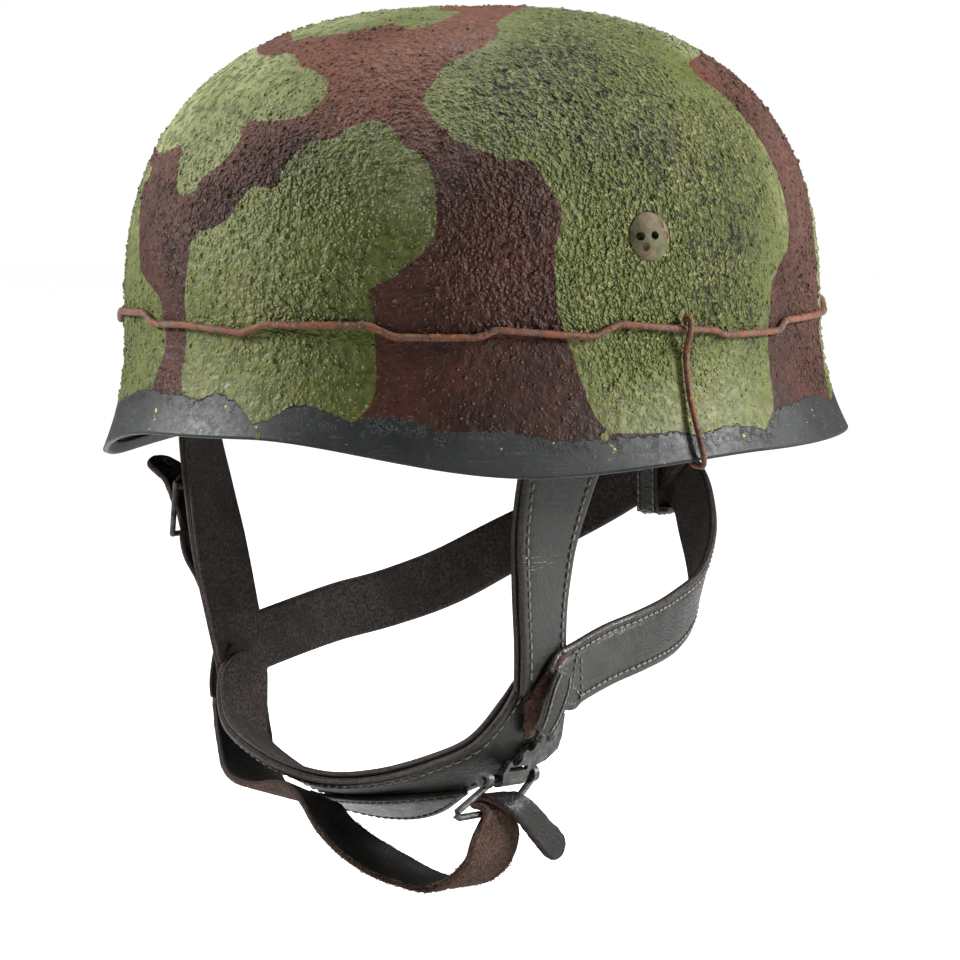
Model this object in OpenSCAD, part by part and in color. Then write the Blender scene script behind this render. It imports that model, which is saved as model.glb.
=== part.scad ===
/* [Shell] */
// Length of the shell body above the flared rim, front to back
body_len = 259; // [240:1:280]
// Width of the shell body above the flared rim, side to side
body_wid = 222; // [205:1:240]
// Height of the crown over the lowest point of the rim
crown_z = 153; // [140:1:170]
// Height where the upright wall starts to curve in to the crown
wall_z = 47; // [35:1:60]
// Fullness of the dome: 2 is an ellipse, more is boxier
dome_power = 2.55; // [2.1:0.05:3]
// Thickness of the pressed steel
shell_wall = 1.4; // [1.2:0.1:2.5]
// Thickness of the folded edge at the rim
rim_bead = 2.4; // [2:0.1:3.5]
// Height of the folded edge
rim_bead_h = 4; // [3:0.5:8]

/* [Rim] */
// How far the brow edge is raised over the temples
brow_lift = 13; // [4:0.5:18]
// How far the edge beside the ears is raised over the temples
side_lift = 4.5; // [0:0.5:10]
// How much more the edge is raised at the nape
nape_lift = 4; // [0:0.5:8]
// How far the rim flares out at the brow
brow_flare = 8; // [4:0.5:14]
// How far the rim flares out at the nape
nape_flare = 10; // [4:0.5:16]
// Height of the flare over the edge
flare_h = 39; // [25:1:45]

/* [Bolts] */
// Angle of the front bolts from the brow, towards the ears
front_bolt_turn = 75.5; // [68:0.5:80]
// Angle of the rear bolts from the brow
rear_bolt_turn = 151; // [146:1:156]
// Height of the bolts over the lowest point of the rim
bolt_z = 76.5; // [70:0.5:84]
// Diameter of the domed bolt head
head_d = 16; // [13:0.5:20]
// Height of the domed bolt head
head_h = 3; // [2:0.1:4]
// Diameter of the bolt shank
shank_d = 8; // [6:0.5:9]
// Diameter of each hole in the bolt head
vent_d = 2.9; // [1.5:0.1:3]
// Distance of the four outer holes from the middle of the head
vent_r = 5; // [4.6:0.1:5.4]
// Diameter of the nut behind the band
nut_d = 13; // [12:0.5:16]
// Thickness of the nut
nut_h = 3; // [2:0.1:5]

/* [Liner] */
// Distance from the outside of the shell to the outside of the liner band
stand_off = 19; // [16:0.5:22]
// Height of the aluminium band
band_h = 28; // [20:1:34]
// Thickness of the aluminium band
band_wall = 1.2; // [0.8:0.1:2]
// Thickness of the liner leather
leather_t = 1.8; // [1.2:0.1:2.5]
// How far the leather hangs below the band
hem_drop = 9; // [4:1:14]
// Drop from the crown of the shell to the leather crown
liner_drop = 25; // [20:1:35]
// Diameter of the vent holes in the leather crown
liner_hole_d = 9; // [5:0.5:12]
// Diameter of the rivets that hold the leather to the band
rivet_d = 3; // [2:0.1:4]
// Lowest height of the sponge rubber pads
pad_low_z = 40; // [34:1:50]
// Highest height of the sponge rubber pads
pad_high_z = 102; // [96:1:108]
// Thickness of the pad under the crown
crown_pad_t = 12; // [6:0.5:16]
// Diameter of the pad under the crown
crown_pad_d = 92; // [60:1:110]

/* [Straps] */
// Thickness of a stitched leather strap
strap_t = 2.8; // [2:0.1:3]
// Width of the front and chin straps
strap_w = 27; // [24:1:31]
// Width of the rear straps
rear_w = 21; // [18:1:25]
// Thickness of the lens of leather under the chin
chin_pad_t = 2; // [1.2:0.1:2.6]
// Width of the loose chin loop
loop_w = 25; // [20:1:27]
// Half the distance between the straps at the jaw
jaw_x = 72; // [68:1:78]
// Height of the strap joint below the rim's lowest point
joint_z = -74; // [-84:1:-68]
// Height of the chin strap under the chin
chin_z = -112; // [-120:1:-108]
// Depth of the loose loop below the chin strap
loop_drop = 27; // [22:1:34]

/* [Buckles] */
// Diameter of the buckle wire
buckle_wire = 2.4; // [1.8:0.1:3]
// Length of the chin buckle frame along its pin
frame_len = 25; // [23:1:28]
// Height of the chin buckle frame from its pin to its lower bar
frame_h = 11; // [10:0.5:14]
// How far the lower bar of the chin buckle sits forward of its pin
frame_skew = 12; // [6:0.5:13]
// Diameter of the wire of the side buckle
side_wire = 2; // [1.6:0.1:2.4]
// Length of the side buckle frame along its bar
side_len = 24; // [22:1:30]
// Height of the side buckle frame
side_h = 18; // [15:0.5:22]

/* [Foliage wire] */
// Diameter of the wire round the shell
wire_d = 2.4; // [1.6:0.1:3.2]
// Height of the wire on the shell
wire_z = 47; // [42:1:56]
// Depth of the kinks in the wire
kink_h = 4; // [0:0.5:8]

/* [Hidden] */

// The leather crown follows the shell
liner_top_z = crown_z - liner_drop;

// Clearances
soft_gap = 0.3;
hole_gap = 0.3;
hinge_gap = 0.25;
lay_gap = 0.1;
pad_gap = 0.9;

// Facets of the pressed and sewn forms
sectors = 60;
wall_rows = 6;
dome_rows = 9;
round_fn = 48;

// Where the rim turns from the brow arch to the lowest point and to the ear arch
brow_turn = 10;
temple_turn = 56;
ear_turn = 95;

// Simple vector helpers
function unit(v) = v / norm(v);
function ease(t) = let (c = min(1, max(0, t))) c * c * (3 - 2 * c);
function mix(a, b, t) = a + (b - a) * t;
function turn(phi) = let (m = ((phi % 360) + 540) % 360 - 180) abs(m);

// The shell as a surface: phi runs from the brow to the wearer's left, z up from the temples
function rim_z(phi) =
    brow_lift * ease((temple_turn - turn(phi)) / (temple_turn - brow_turn))
    + side_lift * ease((turn(phi) - temple_turn) / (ear_turn - temple_turn))
    + nape_lift * ease((turn(phi) - ear_turn) / (180 - ear_turn));
function dome_k(z, low, top, power) =
    z <= low ? 1 : pow(max(0, 1 - pow((z - low) / (top - low), power)), 1 / power);
function flare(phi, z) =
    let (up = (z - rim_z(phi)) / flare_h)
    up >= 1 ? 0 : mix(brow_flare, nape_flare, (1 - cos(phi)) / 2) * pow(1 - max(0, up), 2);
function shell_point(phi, z, inset) =
    let (k = dome_k(z, wall_z, crown_z - inset, dome_power), f = flare(phi, z))
    [
        ((body_wid / 2 - inset) * k + f) * sin(phi),
        -((body_len / 2 - inset) * k + f) * cos(phi),
        z
    ];

// Rows of a cup from its edge to just below its pole
function dome_z(low, top, power, row, rows) =
    low + (top - low) * pow(sin(row / rows * 90), 2 / power);
function shell_rows(inset, bead) = [
    for (row = [0:wall_rows - 1]) [
        for (i = [0:sectors - 1])
            let (
                phi = i * 360 / sectors,
                z0 = rim_z(phi),
                z = row == 0 ? z0 : row == 1 ? z0 + rim_bead_h
                    : mix(z0 + rim_bead_h, wall_z, (row - 1) / (wall_rows - 1)),
                in = bead && row < 2 ? max(inset, rim_bead) : inset
            )
            shell_point(phi, z, in)
    ],
    for (row = [0:dome_rows - 1]) [
        for (i = [0:sectors - 1])
            shell_point(
                i * 360 / sectors,
                dome_z(wall_z, crown_z - inset, dome_power, row, dome_rows),
                inset
            )
    ]
];

// A closed cup between two stacks of rings that share their counts
module cup(outer, inner, outer_pole, inner_pole) {
    rows = len(outer);
    n = len(outer[0]);
    top = 2 * rows * n;
    function at(side, row, i) = side * rows * n + row * n + i % n;
    points = [
        for (ring = outer) each ring,
        for (ring = inner) each ring,
        outer_pole,
        inner_pole
    ];
    faces = [
        for (row = [0:rows - 2], i = [0:n - 1]) each [
            [at(0, row, i), at(0, row + 1, i), at(0, row + 1, i + 1)],
            [at(0, row, i), at(0, row + 1, i + 1), at(0, row, i + 1)],
            [at(1, row, i), at(1, row + 1, i + 1), at(1, row + 1, i)],
            [at(1, row, i), at(1, row, i + 1), at(1, row + 1, i + 1)]
        ],
        for (i = [0:n - 1]) each [
            [at(0, rows - 1, i), top, at(0, rows - 1, i + 1)],
            [at(1, rows - 1, i), at(1, rows - 1, i + 1), top + 1],
            [at(0, 0, i), at(0, 0, i + 1), at(1, 0, i)],
            [at(0, 0, i + 1), at(1, 0, i + 1), at(1, 0, i)]
        ]
    ];
    polyhedron(points, faces, convexity = 6);
}

// A closed ring between two stacks of rings, open at both ends
module hoop(outer, inner) {
    rows = len(outer);
    n = len(outer[0]);
    function at(side, row, i) = side * rows * n + row * n + i % n;
    points = [for (ring = outer) each ring, for (ring = inner) each ring];
    last = rows - 1;
    faces = [
        for (row = [0:rows - 2], i = [0:n - 1]) each [
            [at(0, row, i), at(0, row + 1, i), at(0, row + 1, i + 1)],
            [at(0, row, i), at(0, row + 1, i + 1), at(0, row, i + 1)],
            [at(1, row, i), at(1, row + 1, i + 1), at(1, row + 1, i)],
            [at(1, row, i), at(1, row, i + 1), at(1, row + 1, i + 1)]
        ],
        for (i = [0:n - 1]) each [
            [at(0, 0, i), at(0, 0, i + 1), at(1, 0, i)],
            [at(0, 0, i + 1), at(1, 0, i + 1), at(1, 0, i)],
            [at(0, last, i), at(1, last, i), at(0, last, i + 1)],
            [at(0, last, i + 1), at(1, last, i), at(1, last, i + 1)]
        ]
    ];
    polyhedron(points, faces, convexity = 6);
}

// A closed slab between two sheets of points: front[row][column] and back[row][column]
module slab(front, back) {
    rows = len(front);
    cols = len(front[0]);
    size = rows * cols;
    function at(side, row, col) = side * size + row * cols + col;
    points = [for (line = front) each line, for (line = back) each line];
    faces = [
        for (r = [0:rows - 2], c = [0:cols - 2]) each [
            [at(0, r, c), at(0, r + 1, c), at(0, r + 1, c + 1)],
            [at(0, r, c), at(0, r + 1, c + 1), at(0, r, c + 1)],
            [at(1, r, c), at(1, r + 1, c + 1), at(1, r + 1, c)],
            [at(1, r, c), at(1, r, c + 1), at(1, r + 1, c + 1)]
        ],
        for (c = [0:cols - 2]) each [
            [at(0, 0, c), at(0, 0, c + 1), at(1, 0, c)],
            [at(0, 0, c + 1), at(1, 0, c + 1), at(1, 0, c)],
            [at(0, rows - 1, c), at(1, rows - 1, c), at(0, rows - 1, c + 1)],
            [at(0, rows - 1, c + 1), at(1, rows - 1, c), at(1, rows - 1, c + 1)]
        ],
        for (r = [0:rows - 2]) each [
            [at(0, r, 0), at(1, r, 0), at(0, r + 1, 0)],
            [at(0, r + 1, 0), at(1, r, 0), at(1, r + 1, 0)],
            [at(0, r, cols - 1), at(0, r + 1, cols - 1), at(1, r, cols - 1)],
            [at(0, r + 1, cols - 1), at(1, r + 1, cols - 1), at(1, r, cols - 1)]
        ]
    ];
    polyhedron(points, faces, convexity = 6);
}

// Points eased through a list of stations, any number of values in each
function curve_at(p, i, t) =
    let (
        last = len(p) - 1,
        a = p[max(i - 1, 0)],
        b = p[i],
        c = p[min(i + 1, last)],
        d = p[min(i + 2, last)]
    )
    0.5 * (2 * b + (c - a) * t + (2 * a - 5 * b + 4 * c - d) * t * t
        + (3 * b - a - 3 * c + d) * t * t * t);
function eased(p, steps) = [
    for (i = [0:len(p) - 2], s = [0:steps - 1]) curve_at(p, i, s / steps),
    p[len(p) - 1]
];
function place(s) = [s[0], s[1], s[2]];
function facing(s) = [s[3], s[4], s[5]];
function heading(route, i) =
    unit(place(route[min(i + 1, len(route) - 1)]) - place(route[max(i - 1, 0)]));

// A flat strap along a route of stations [x, y, z, facing x, y, z, width]
module strap(stations, thick, steps = 3, lift = 0) {
    route = eased(stations, steps);
    sheets = [
        for (side = [-0.5, 0.5]) [
            for (i = [0:len(route) - 1])
                let (
                    along = heading(route, i),
                    across = unit(cross(along, facing(route[i]))),
                    out = cross(across, along),
                    mid = place(route[i]) + out * (thick * side + lift)
                )
                [mid + across * route[i][6] / 2, mid - across * route[i][6] / 2]
        ]
    ];
    slab(sheets[0], sheets[1]);
}

// A round wire along a route of points
module wire(route, d, sides = 8) {
    rings = [
        for (i = [0:len(route) - 1])
            let (
                along = heading(route, i),
                a = unit(cross(along, [0.1, 0.2, 1])),
                b = cross(a, along)
            )
            [for (k = [0:sides - 1]) route[i] + (a * cos(k * 360 / sides)
                + b * sin(k * 360 / sides)) * d / 2]
    ];
    rows = len(rings);
    points = [for (ring = rings) each ring];
    faces = [
        for (r = [0:rows - 2], k = [0:sides - 1])
            let (a = r * sides + k, b = r * sides + (k + 1) % sides)
            each [[a, b, a + sides], [b, b + sides, a + sides]],
        [for (k = [sides - 1:-1:0]) k],
        [for (k = [0:sides - 1]) (rows - 1) * sides + k]
    ];
    polyhedron(points, faces, convexity = 6);
}

// A closed wire: the last ring meets the first
module wire_ring(route, d, sides = 8) {
    n = len(route);
    points = [
        for (i = [0:n - 1])
            let (
                along = unit(route[(i + 1) % n] - route[(i + n - 1) % n]),
                a = unit(cross(along, [0, 0, 1])),
                b = cross(a, along)
            )
            each [for (k = [0:sides - 1]) route[i] + (a * cos(k * 360 / sides)
                + b * sin(k * 360 / sides)) * d / 2]
    ];
    faces = [
        for (r = [0:n - 1], k = [0:sides - 1])
            let (
                a = r * sides + k,
                b = r * sides + (k + 1) % sides,
                up = (r + 1) % n
            )
            each [[a, b, up * sides + k], [b, up * sides + (k + 1) % sides, up * sides + k]]
    ];
    polyhedron(points, faces, convexity = 6);
}

// The line of each bolt: where it leaves the shell and which way it points
function shell_out(phi, z) =
    let (
        step = 0.5,
        around = shell_point(phi + step, z, 0) - shell_point(phi - step, z, 0),
        up = shell_point(phi, z + step, 0) - shell_point(phi, z - step, 0)
    )
    unit(cross(around, up));
module at_bolt(phi) {
    out = shell_out(phi, bolt_z);
    translate(shell_point(phi, bolt_z, 0))
        rotate([0, acos(out[2]), atan2(out[1], out[0])])
            children();
}
module at_all_bolts() {
    for (phi = [front_bolt_turn, rear_bolt_turn]) {
        at_bolt(phi) children();
        mirror([1, 0, 0]) at_bolt(phi) children();
    }
}

// The liner band follows the shell as a cone
function band_k(z) =
    let (
        step = 1,
        here = dome_k(bolt_z, wall_z, crown_z, dome_power),
        slope = (dome_k(bolt_z + step, wall_z, crown_z, dome_power)
            - dome_k(bolt_z - step, wall_z, crown_z, dome_power)) / (2 * step)
    )
    here + slope * (z - bolt_z);
function band_point(phi, z, out) = [
    (body_wid / 2 * band_k(z) - stand_off + out) * sin(phi),
    -(body_len / 2 * band_k(z) - stand_off + out) * cos(phi),
    z
];
function band_out(phi) =
    unit(cross(
        band_point(phi + 0.5, bolt_z, 0) - band_point(phi - 0.5, bolt_z, 0),
        band_point(phi, bolt_z + 0.5, 0) - band_point(phi, bolt_z - 0.5, 0)
    ));
band_low_z = bolt_z - 3 - band_h / 2;
band_high_z = band_low_z + band_h;
bore_depth = stand_off + band_wall + strap_t + nut_h + 12;

module shell() {
    color([0.36, 0.42, 0.26])
        difference() {
            cup(
                shell_rows(0, false),
                shell_rows(shell_wall, true),
                [0, 0, crown_z],
                [0, 0, crown_z - shell_wall]
            );
            at_all_bolts()
                translate([0, 0, -shell_wall - 6])
                    cylinder(h = shell_wall + 12, d = shank_d + 2 * hole_gap, $fn = round_fn);
        }
}

// A hollow bolt with a domed head that lets air in through five holes
bolt_seat = 0.25;
vent_turns = [90, 135, 270, 315];
bolt_len = stand_off + band_wall + nut_h + 1.5;
module vented_bolt(phi) {
    dome_r = (head_d * head_d / 4 + head_h * head_h) / (2 * head_h);
    at_bolt(phi)
        difference() {
            union() {
                translate([0, 0, bolt_seat])
                    intersection() {
                        cylinder(h = head_h, d = head_d, $fn = round_fn);
                        translate([0, 0, head_h - dome_r])
                            sphere(r = dome_r, $fn = 96);
                    }
                translate([0, 0, -bolt_len])
                    cylinder(h = bolt_len + bolt_seat + head_h / 4, d = shank_d, $fn = round_fn);
            }
            translate([0, 0, -bolt_len - 1])
                cylinder(h = bolt_len + 1 - shell_wall, d = shank_d - 2, $fn = round_fn);
            translate([0, 0, -shell_wall - 2])
                cylinder(h = head_h + shell_wall + 6, d = vent_d, $fn = 24);
            for (spot = vent_turns)
                rotate(spot)
                    translate([vent_r, 0, -0.5])
                        cylinder(h = head_h + 2, d = vent_d, $fn = 24);
        }
}
module vented_bolt_front_left() {
    color([0.45, 0.44, 0.32]) vented_bolt(front_bolt_turn);
}
module vented_bolt_front_right() {
    color([0.45, 0.44, 0.32]) mirror([1, 0, 0]) vented_bolt(front_bolt_turn);
}
module vented_bolt_rear_left() {
    color([0.45, 0.44, 0.32]) vented_bolt(rear_bolt_turn);
}
module vented_bolt_rear_right() {
    color([0.45, 0.44, 0.32]) mirror([1, 0, 0]) vented_bolt(rear_bolt_turn);
}

// The washer and nut close on the inside of the band
nut_seat = stand_off + band_wall + 0.4;
washer_t = 0.6;
module bolt_washers() {
    color([0.6, 0.6, 0.58])
        at_all_bolts()
            translate([0, 0, -nut_seat - washer_t])
                difference() {
                    cylinder(h = washer_t, d = nut_d + 2, $fn = round_fn);
                    translate([0, 0, -1])
                        cylinder(h = washer_t + 2, d = shank_d + 2 * hole_gap, $fn = round_fn);
                }
}
module bolt_nuts() {
    color([0.55, 0.55, 0.52])
        at_all_bolts()
            translate([0, 0, -nut_seat - washer_t - nut_h])
                difference() {
                    cylinder(h = nut_h, d = nut_d, $fn = round_fn);
                    translate([0, 0, -1])
                        cylinder(h = nut_h + 2, d = shank_d + 0.1, $fn = round_fn);
                    for (side = [0, 180])
                        rotate(side)
                            translate([nut_d / 2 - 1.4, -1, -1])
                                cube([3, 2, 2]);
                }
}

function band_rows(out, zs) = [
    for (z = zs) [for (i = [0:sectors - 1]) band_point(i * 360 / sectors, z, out)]
];
rivet_turns = [22, 52, 98, 122, 162];
rivet_z = band_low_z + 6;
module at_rivets() {
    for (side = [1, -1], phi = rivet_turns) {
        spot = band_point(side * phi, rivet_z, 0);
        out = band_point(side * phi, rivet_z, 1) - spot;
        translate(spot)
            rotate([0, 90, atan2(out[1], out[0])])
                children();
    }
}
module liner_band() {
    color([0.72, 0.73, 0.74])
        difference() {
            hoop(
                band_rows(0, [band_low_z, band_high_z]),
                band_rows(-band_wall, [band_low_z, band_high_z])
            );
            at_all_bolts()
                translate([0, 0, -stand_off - band_wall - 6])
                    cylinder(h = band_wall + 12, d = shank_d + 2 * hole_gap, $fn = round_fn);
            at_rivets()
                translate([0, 0, -band_wall - 3])
                    cylinder(h = band_wall + 6, d = rivet_d + 0.2, $fn = 24);
        }
}

// The leather hangs inside the band and closes in a dome over the head
leather_gap = 0.1;
liner_in = band_wall + leather_gap;
liner_power = 2.2;
function liner_point(phi, z, inset) =
    let (
        low = band_high_z - 4,
        k = dome_k(z, low, liner_top_z - inset, liner_power),
        zc = min(z, low),
        base = band_point(phi, zc, -liner_in - inset)
    )
    [base[0] * k, base[1] * k, z];
hem_z = band_low_z - hem_drop;
liner_dome_rows = 7;
function liner_rows(inset) = [
    for (z = [hem_z, band_low_z, band_high_z - 12])
        [for (i = [0:sectors - 1]) liner_point(i * 360 / sectors, z, inset)],
    for (row = [0:liner_dome_rows - 1])
        [
            for (i = [0:sectors - 1])
                liner_point(
                    i * 360 / sectors,
                    dome_z(band_high_z - 4, liner_top_z - inset, liner_power, row, liner_dome_rows),
                    inset
                )
        ]
];
outer_ring = [0.216 * body_wid, 0.232 * body_len];
inner_ring = [0.108 * body_wid, 0.116 * body_len];
module liner_hole(phi, ring) {
    translate([ring[0] * sin(phi), -ring[1] * cos(phi), hem_z])
        cylinder(h = liner_top_z, d = liner_hole_d, $fn = 32);
}
module leather_liner() {
    color([0.42, 0.27, 0.17])
        difference() {
            cup(
                liner_rows(0),
                liner_rows(leather_t),
                [0, 0, liner_top_z],
                [0, 0, liner_top_z - leather_t]
            );
            at_rivets()
                translate([0, 0, -liner_in - leather_t - 4])
                    cylinder(h = liner_in + leather_t + 8, d = rivet_d + 0.2, $fn = 24);
            at_all_bolts()
                translate([0, 0, -nut_seat - washer_t - nut_h - 4])
                    cylinder(h = nut_h + washer_t + 6, d = nut_d + 3.2, $fn = round_fn);
            translate([0, 0, liner_top_z - 30])
                cylinder(h = 40, d = liner_hole_d, $fn = 32);
            for (phi = [22.5:45:359]) liner_hole(phi, outer_ring);
            for (phi = [0:90:359]) liner_hole(phi, inner_ring);
        }
}
module liner_rivets() {
    inner = liner_in + leather_t + 0.3;
    color([0.6, 0.52, 0.34])
        at_rivets()
            translate([0, 0, -inner]) {
                cylinder(h = inner - 0.2, d = rivet_d, $fn = 24);
                translate([0, 0, -1.2])
                    intersection() {
                        cylinder(h = 1.2, d = rivet_d * 2, $fn = 24);
                        translate([0, 0, rivet_d * 1.3])
                            sphere(r = rivet_d * 1.3, $fn = 32);
                    }
            }
}

// Sponge rubber fills the space between the band and the shell
module pad(phi_from, phi_to, cols) {
    zs = [for (row = [0:5]) mix(pad_low_z, pad_high_z, row / 5)];
    outer = [
        for (z = zs) [
            for (c = [0:cols])
                shell_point(mix(phi_from, phi_to, c / cols), z, shell_wall + pad_gap)
        ]
    ];
    inner = [
        for (z = zs) [
            for (c = [0:cols])
                band_point(mix(phi_from, phi_to, c / cols), z, soft_gap)
        ]
    ];
    slab(outer, inner);
}
front_pad_turn = 54;
rear_pad_turn = 162;
side_pad_from = 90;
side_pad_to = 126;
module pad_front() {
    color([0.24, 0.24, 0.23]) pad(-front_pad_turn, front_pad_turn, 18);
}
module pad_rear() {
    color([0.24, 0.24, 0.23]) pad(rear_pad_turn, 360 - rear_pad_turn, 6);
}
module pad_side_left() {
    color([0.24, 0.24, 0.23]) pad(side_pad_from, side_pad_to, 6);
}
module pad_side_right() {
    color([0.24, 0.24, 0.23]) mirror([1, 0, 0]) pad(side_pad_from, side_pad_to, 6);
}
module crown_pad() {
    pad_rows = 4;
    pad_sectors = 36;
    top = crown_z - shell_wall - pad_gap;
    function spot(phi, share) =
        let (r = crown_pad_d / 2 * share, reach = body_wid / 2 - shell_wall)
        [r * sin(phi), -r * cos(phi), wall_z + (top - wall_z)
            * pow(1 - pow(r / reach, dome_power), 1 / dome_power)];
    outer = [
        for (row = [0:pad_rows - 1])
            [for (i = [0:pad_sectors - 1]) spot(i * 10, 1 - row / pad_rows)]
    ];
    inner = [for (ring = outer) [for (p = ring) p - [0, 0, crown_pad_t]]];
    color([0.24, 0.24, 0.23])
        cup(outer, inner, spot(0, 0), spot(0, 0) - [0, 0, crown_pad_t]);
}

// Each strap starts at a bolt, flat on the band, with an eye for the shank
strap_lift = strap_t / 2 + lay_gap;
function strap_top(phi) =
    let (out = band_out(phi))
    [
        for (spot = [[band_high_z + 7, 0.3], [band_high_z + 4, 0.8], [band_high_z - 3, 1],
            [bolt_z - 2, 1], [band_low_z + 2, 1], [hem_z - 2, 1]])
            concat(
                band_point(phi, spot[0], strap_lift + 0.2),
                out,
                [strap_w * spot[1]]
            )
    ];
module bolt_eye(phi) {
    at_bolt(phi)
        translate([0, 0, -bore_depth])
            cylinder(h = bore_depth, d = shank_d + 2 * hole_gap, $fn = round_fn);
}

// The front strap leaves the helmet over the cheek
joint_y = -48;
function front_route() = concat(
    strap_top(front_bolt_turn),
    [
        [91.4, -35.6, 42, 0.96, -0.26, 0.05, strap_w + 1],
        [90, -45, 24, 0.95, -0.3, 0.1, strap_w + 2],
        [jaw_x + 14, -51, 6, 0.94, -0.33, 0.1, strap_w + 1],
        [jaw_x + 7.6, -52.5, -18, 0.98, -0.19, 0.12, strap_w - 1],
        [jaw_x + 3.9, -51.4, -38, 0.99, -0.05, 0.12, strap_w - 3],
        [jaw_x + 1, joint_y - 1, joint_z + 16, 0.99, 0, 0.08, strap_w - 5],
        [jaw_x - 1, joint_y + 1, joint_z + 1, 0.99, 0, -0.1, strap_w - 5]
    ]
);
module front_strap() {
    difference() {
        strap(front_route(), strap_t);
        bolt_eye(front_bolt_turn);
    }
}
module front_strap_left() {
    color([0.17, 0.17, 0.17]) front_strap();
}
module front_strap_right() {
    color([0.17, 0.17, 0.17]) mirror([1, 0, 0]) front_strap();
}

// The rear straps cross at the nape and climb to the bolts on the other side
nape_y = body_len / 2 - 30.5;
nape_z = -9;
cross_gap = strap_t + 2 * soft_gap;
function rear_route(layer) = concat(
    [
        [jaw_x + 3.7, joint_y + 0.5, joint_z + 1, 0.98, -0.05, 0.06, rear_w * 0.7],
        [jaw_x + 3.8, joint_y + 6, joint_z + 3, 0.98, -0.03, 0.04, rear_w],
        [jaw_x + 3, joint_y + 14, joint_z + 5.5, 0.98, -0.05, -0.05, rear_w],
        [jaw_x + 1, -16, joint_z + 9.5, 0.99, 0.05, 0, rear_w],
        [jaw_x, 4, joint_z + 13, 0.97, 0.2, 0, rear_w],
        [jaw_x - 5, 25, joint_z + 16.5, 0.9, 0.42, 0, rear_w],
        [58.5, 47, -51, 0.8, 0.55, -0.2, rear_w],
        [45, nape_y - 32, -39.5, 0.62, 0.68, -0.38, rear_w],
        [26, nape_y - 13.5 + layer * 0.7, -27, 0.36, 0.82, -0.38, rear_w],
        [13, nape_y - 4.5 + layer * 1.5, -18, 0.15, 0.95, -0.12, rear_w],
        [0, nape_y - 1.5 + layer, nape_z, 0, 1, 0, rear_w],
        [-13, nape_y - 3.5 + layer * 1.5, 1, -0.12, 0.98, 0, rear_w],
        [-25, nape_y - 4 + layer * 0.7, 11, -0.24, 0.96, 0, rear_w],
        [-43, nape_y - 4.3, 30, -0.52, 0.85, 0.05, rear_w + 1]
    ],
    [
        for (i = [5:-1:0])
            let (s = strap_top(rear_bolt_turn)[i])
            [-s[0], s[1], s[2], -s[3], s[4], s[5], s[6] * 0.9]
    ]
);
module rear_strap(layer) {
    difference() {
        strap(rear_route(layer), strap_t);
        mirror([1, 0, 0]) bolt_eye(rear_bolt_turn);
    }
}
module rear_strap_left() {
    color([0.2, 0.2, 0.2]) rear_strap(cross_gap / 2);
}
module rear_strap_right() {
    color([0.2, 0.2, 0.2]) mirror([1, 0, 0]) rear_strap(-cross_gap / 2);
}

// A leather loop holds the two rear straps together where they cross
keeper_w = 10;
module nape_keeper() {
    wide = rear_w * 1.7;
    deep = 2 * strap_t + 4 * soft_gap + 3.6;
    color([0.16, 0.15, 0.15])
        translate([0, nape_y - 2.2, nape_z])
            difference() {
                cube([keeper_w, deep + 3.2, wide + 3.2], center = true);
                cube([keeper_w + 2, deep, wide], center = true);
            }
}

// The chin strap runs under the jaw from one joint to the other
chin_y = -66;
function chin_half() = [
    [jaw_x - 4, joint_y + 2.5, joint_z + 3, 0.98, -0.05, -0.1, strap_w - 8],
    [jaw_x - 5.6, joint_y - 3.5, joint_z - 9, 0.9, -0.15, -0.35, strap_w - 5],
    [jaw_x - 13.5, joint_y - 11, joint_z - 21, 0.66, -0.33, -0.68, strap_w - 6],
    [46, chin_y + 3.5, chin_z + 10, 0.42, -0.38, -0.82, strap_w - 3],
    [24, chin_y + 1, chin_z + 3, 0.18, -0.4, -0.9, strap_w - 1],
    [0, chin_y, chin_z, 0, -0.4, -0.9, strap_w]
];
function flip_station(s) = [-s[0], s[1], s[2], -s[3], s[4], s[5], s[6]];
module chin_strap() {
    half = chin_half();
    color([0.17, 0.16, 0.16])
        strap(
            concat(half, [for (i = [len(half) - 2:-1:0]) flip_station(half[i])]),
            strap_t
        );
}

// A lens of softer leather is sewn under the rear edge of the chin strap
pad_reach = 34;
pad_mid_x = 9.5;
module chin_pad() {
    stations = [
        for (i = [-6:6])
            let (t = i / 6, x = pad_mid_x + pad_reach * t, far = abs(x) / 46)
            [
                x,
                chin_y + 7 + 4 * pow(far, 2),
                chin_z - 3 + 9.5 * pow(far, 2.2),
                0.4 * x / 46, -0.4, -0.9,
                max(2, (strap_w - 5) * (1 - pow(abs(t), 2.2)))
            ]
    ];
    color([0.13, 0.12, 0.12])
        strap(stations, chin_pad_t, steps = 1, lift = strap_t / 2 + chin_pad_t / 2 + soft_gap);
}

// A sewn triangle covers each joint of the front, rear and chin straps
patch_t = 1.6;
module joint_patch() {
    strap(
        [
            [jaw_x + 1.6, joint_y + 4.5, joint_z + 9, 0.98, -0.1, -0.06, 5],
            [jaw_x + 1.2, joint_y + 1.5, joint_z + 1, 0.98, -0.12, -0.1, 12],
            [jaw_x + 0.2, joint_y - 2, joint_z - 7, 0.96, -0.15, -0.18, 12],
            [jaw_x - 1.4, joint_y - 4, joint_z - 11.5, 0.93, -0.18, -0.3, 8]
        ],
        patch_t,
        lift = 1.5 * strap_t + patch_t / 2 + 2 * soft_gap
    );
}
module joint_patch_left() {
    color([0.26, 0.26, 0.26]) joint_patch();
}
module joint_patch_right() {
    color([0.26, 0.26, 0.26]) mirror([1, 0, 0]) joint_patch();
}

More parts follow.
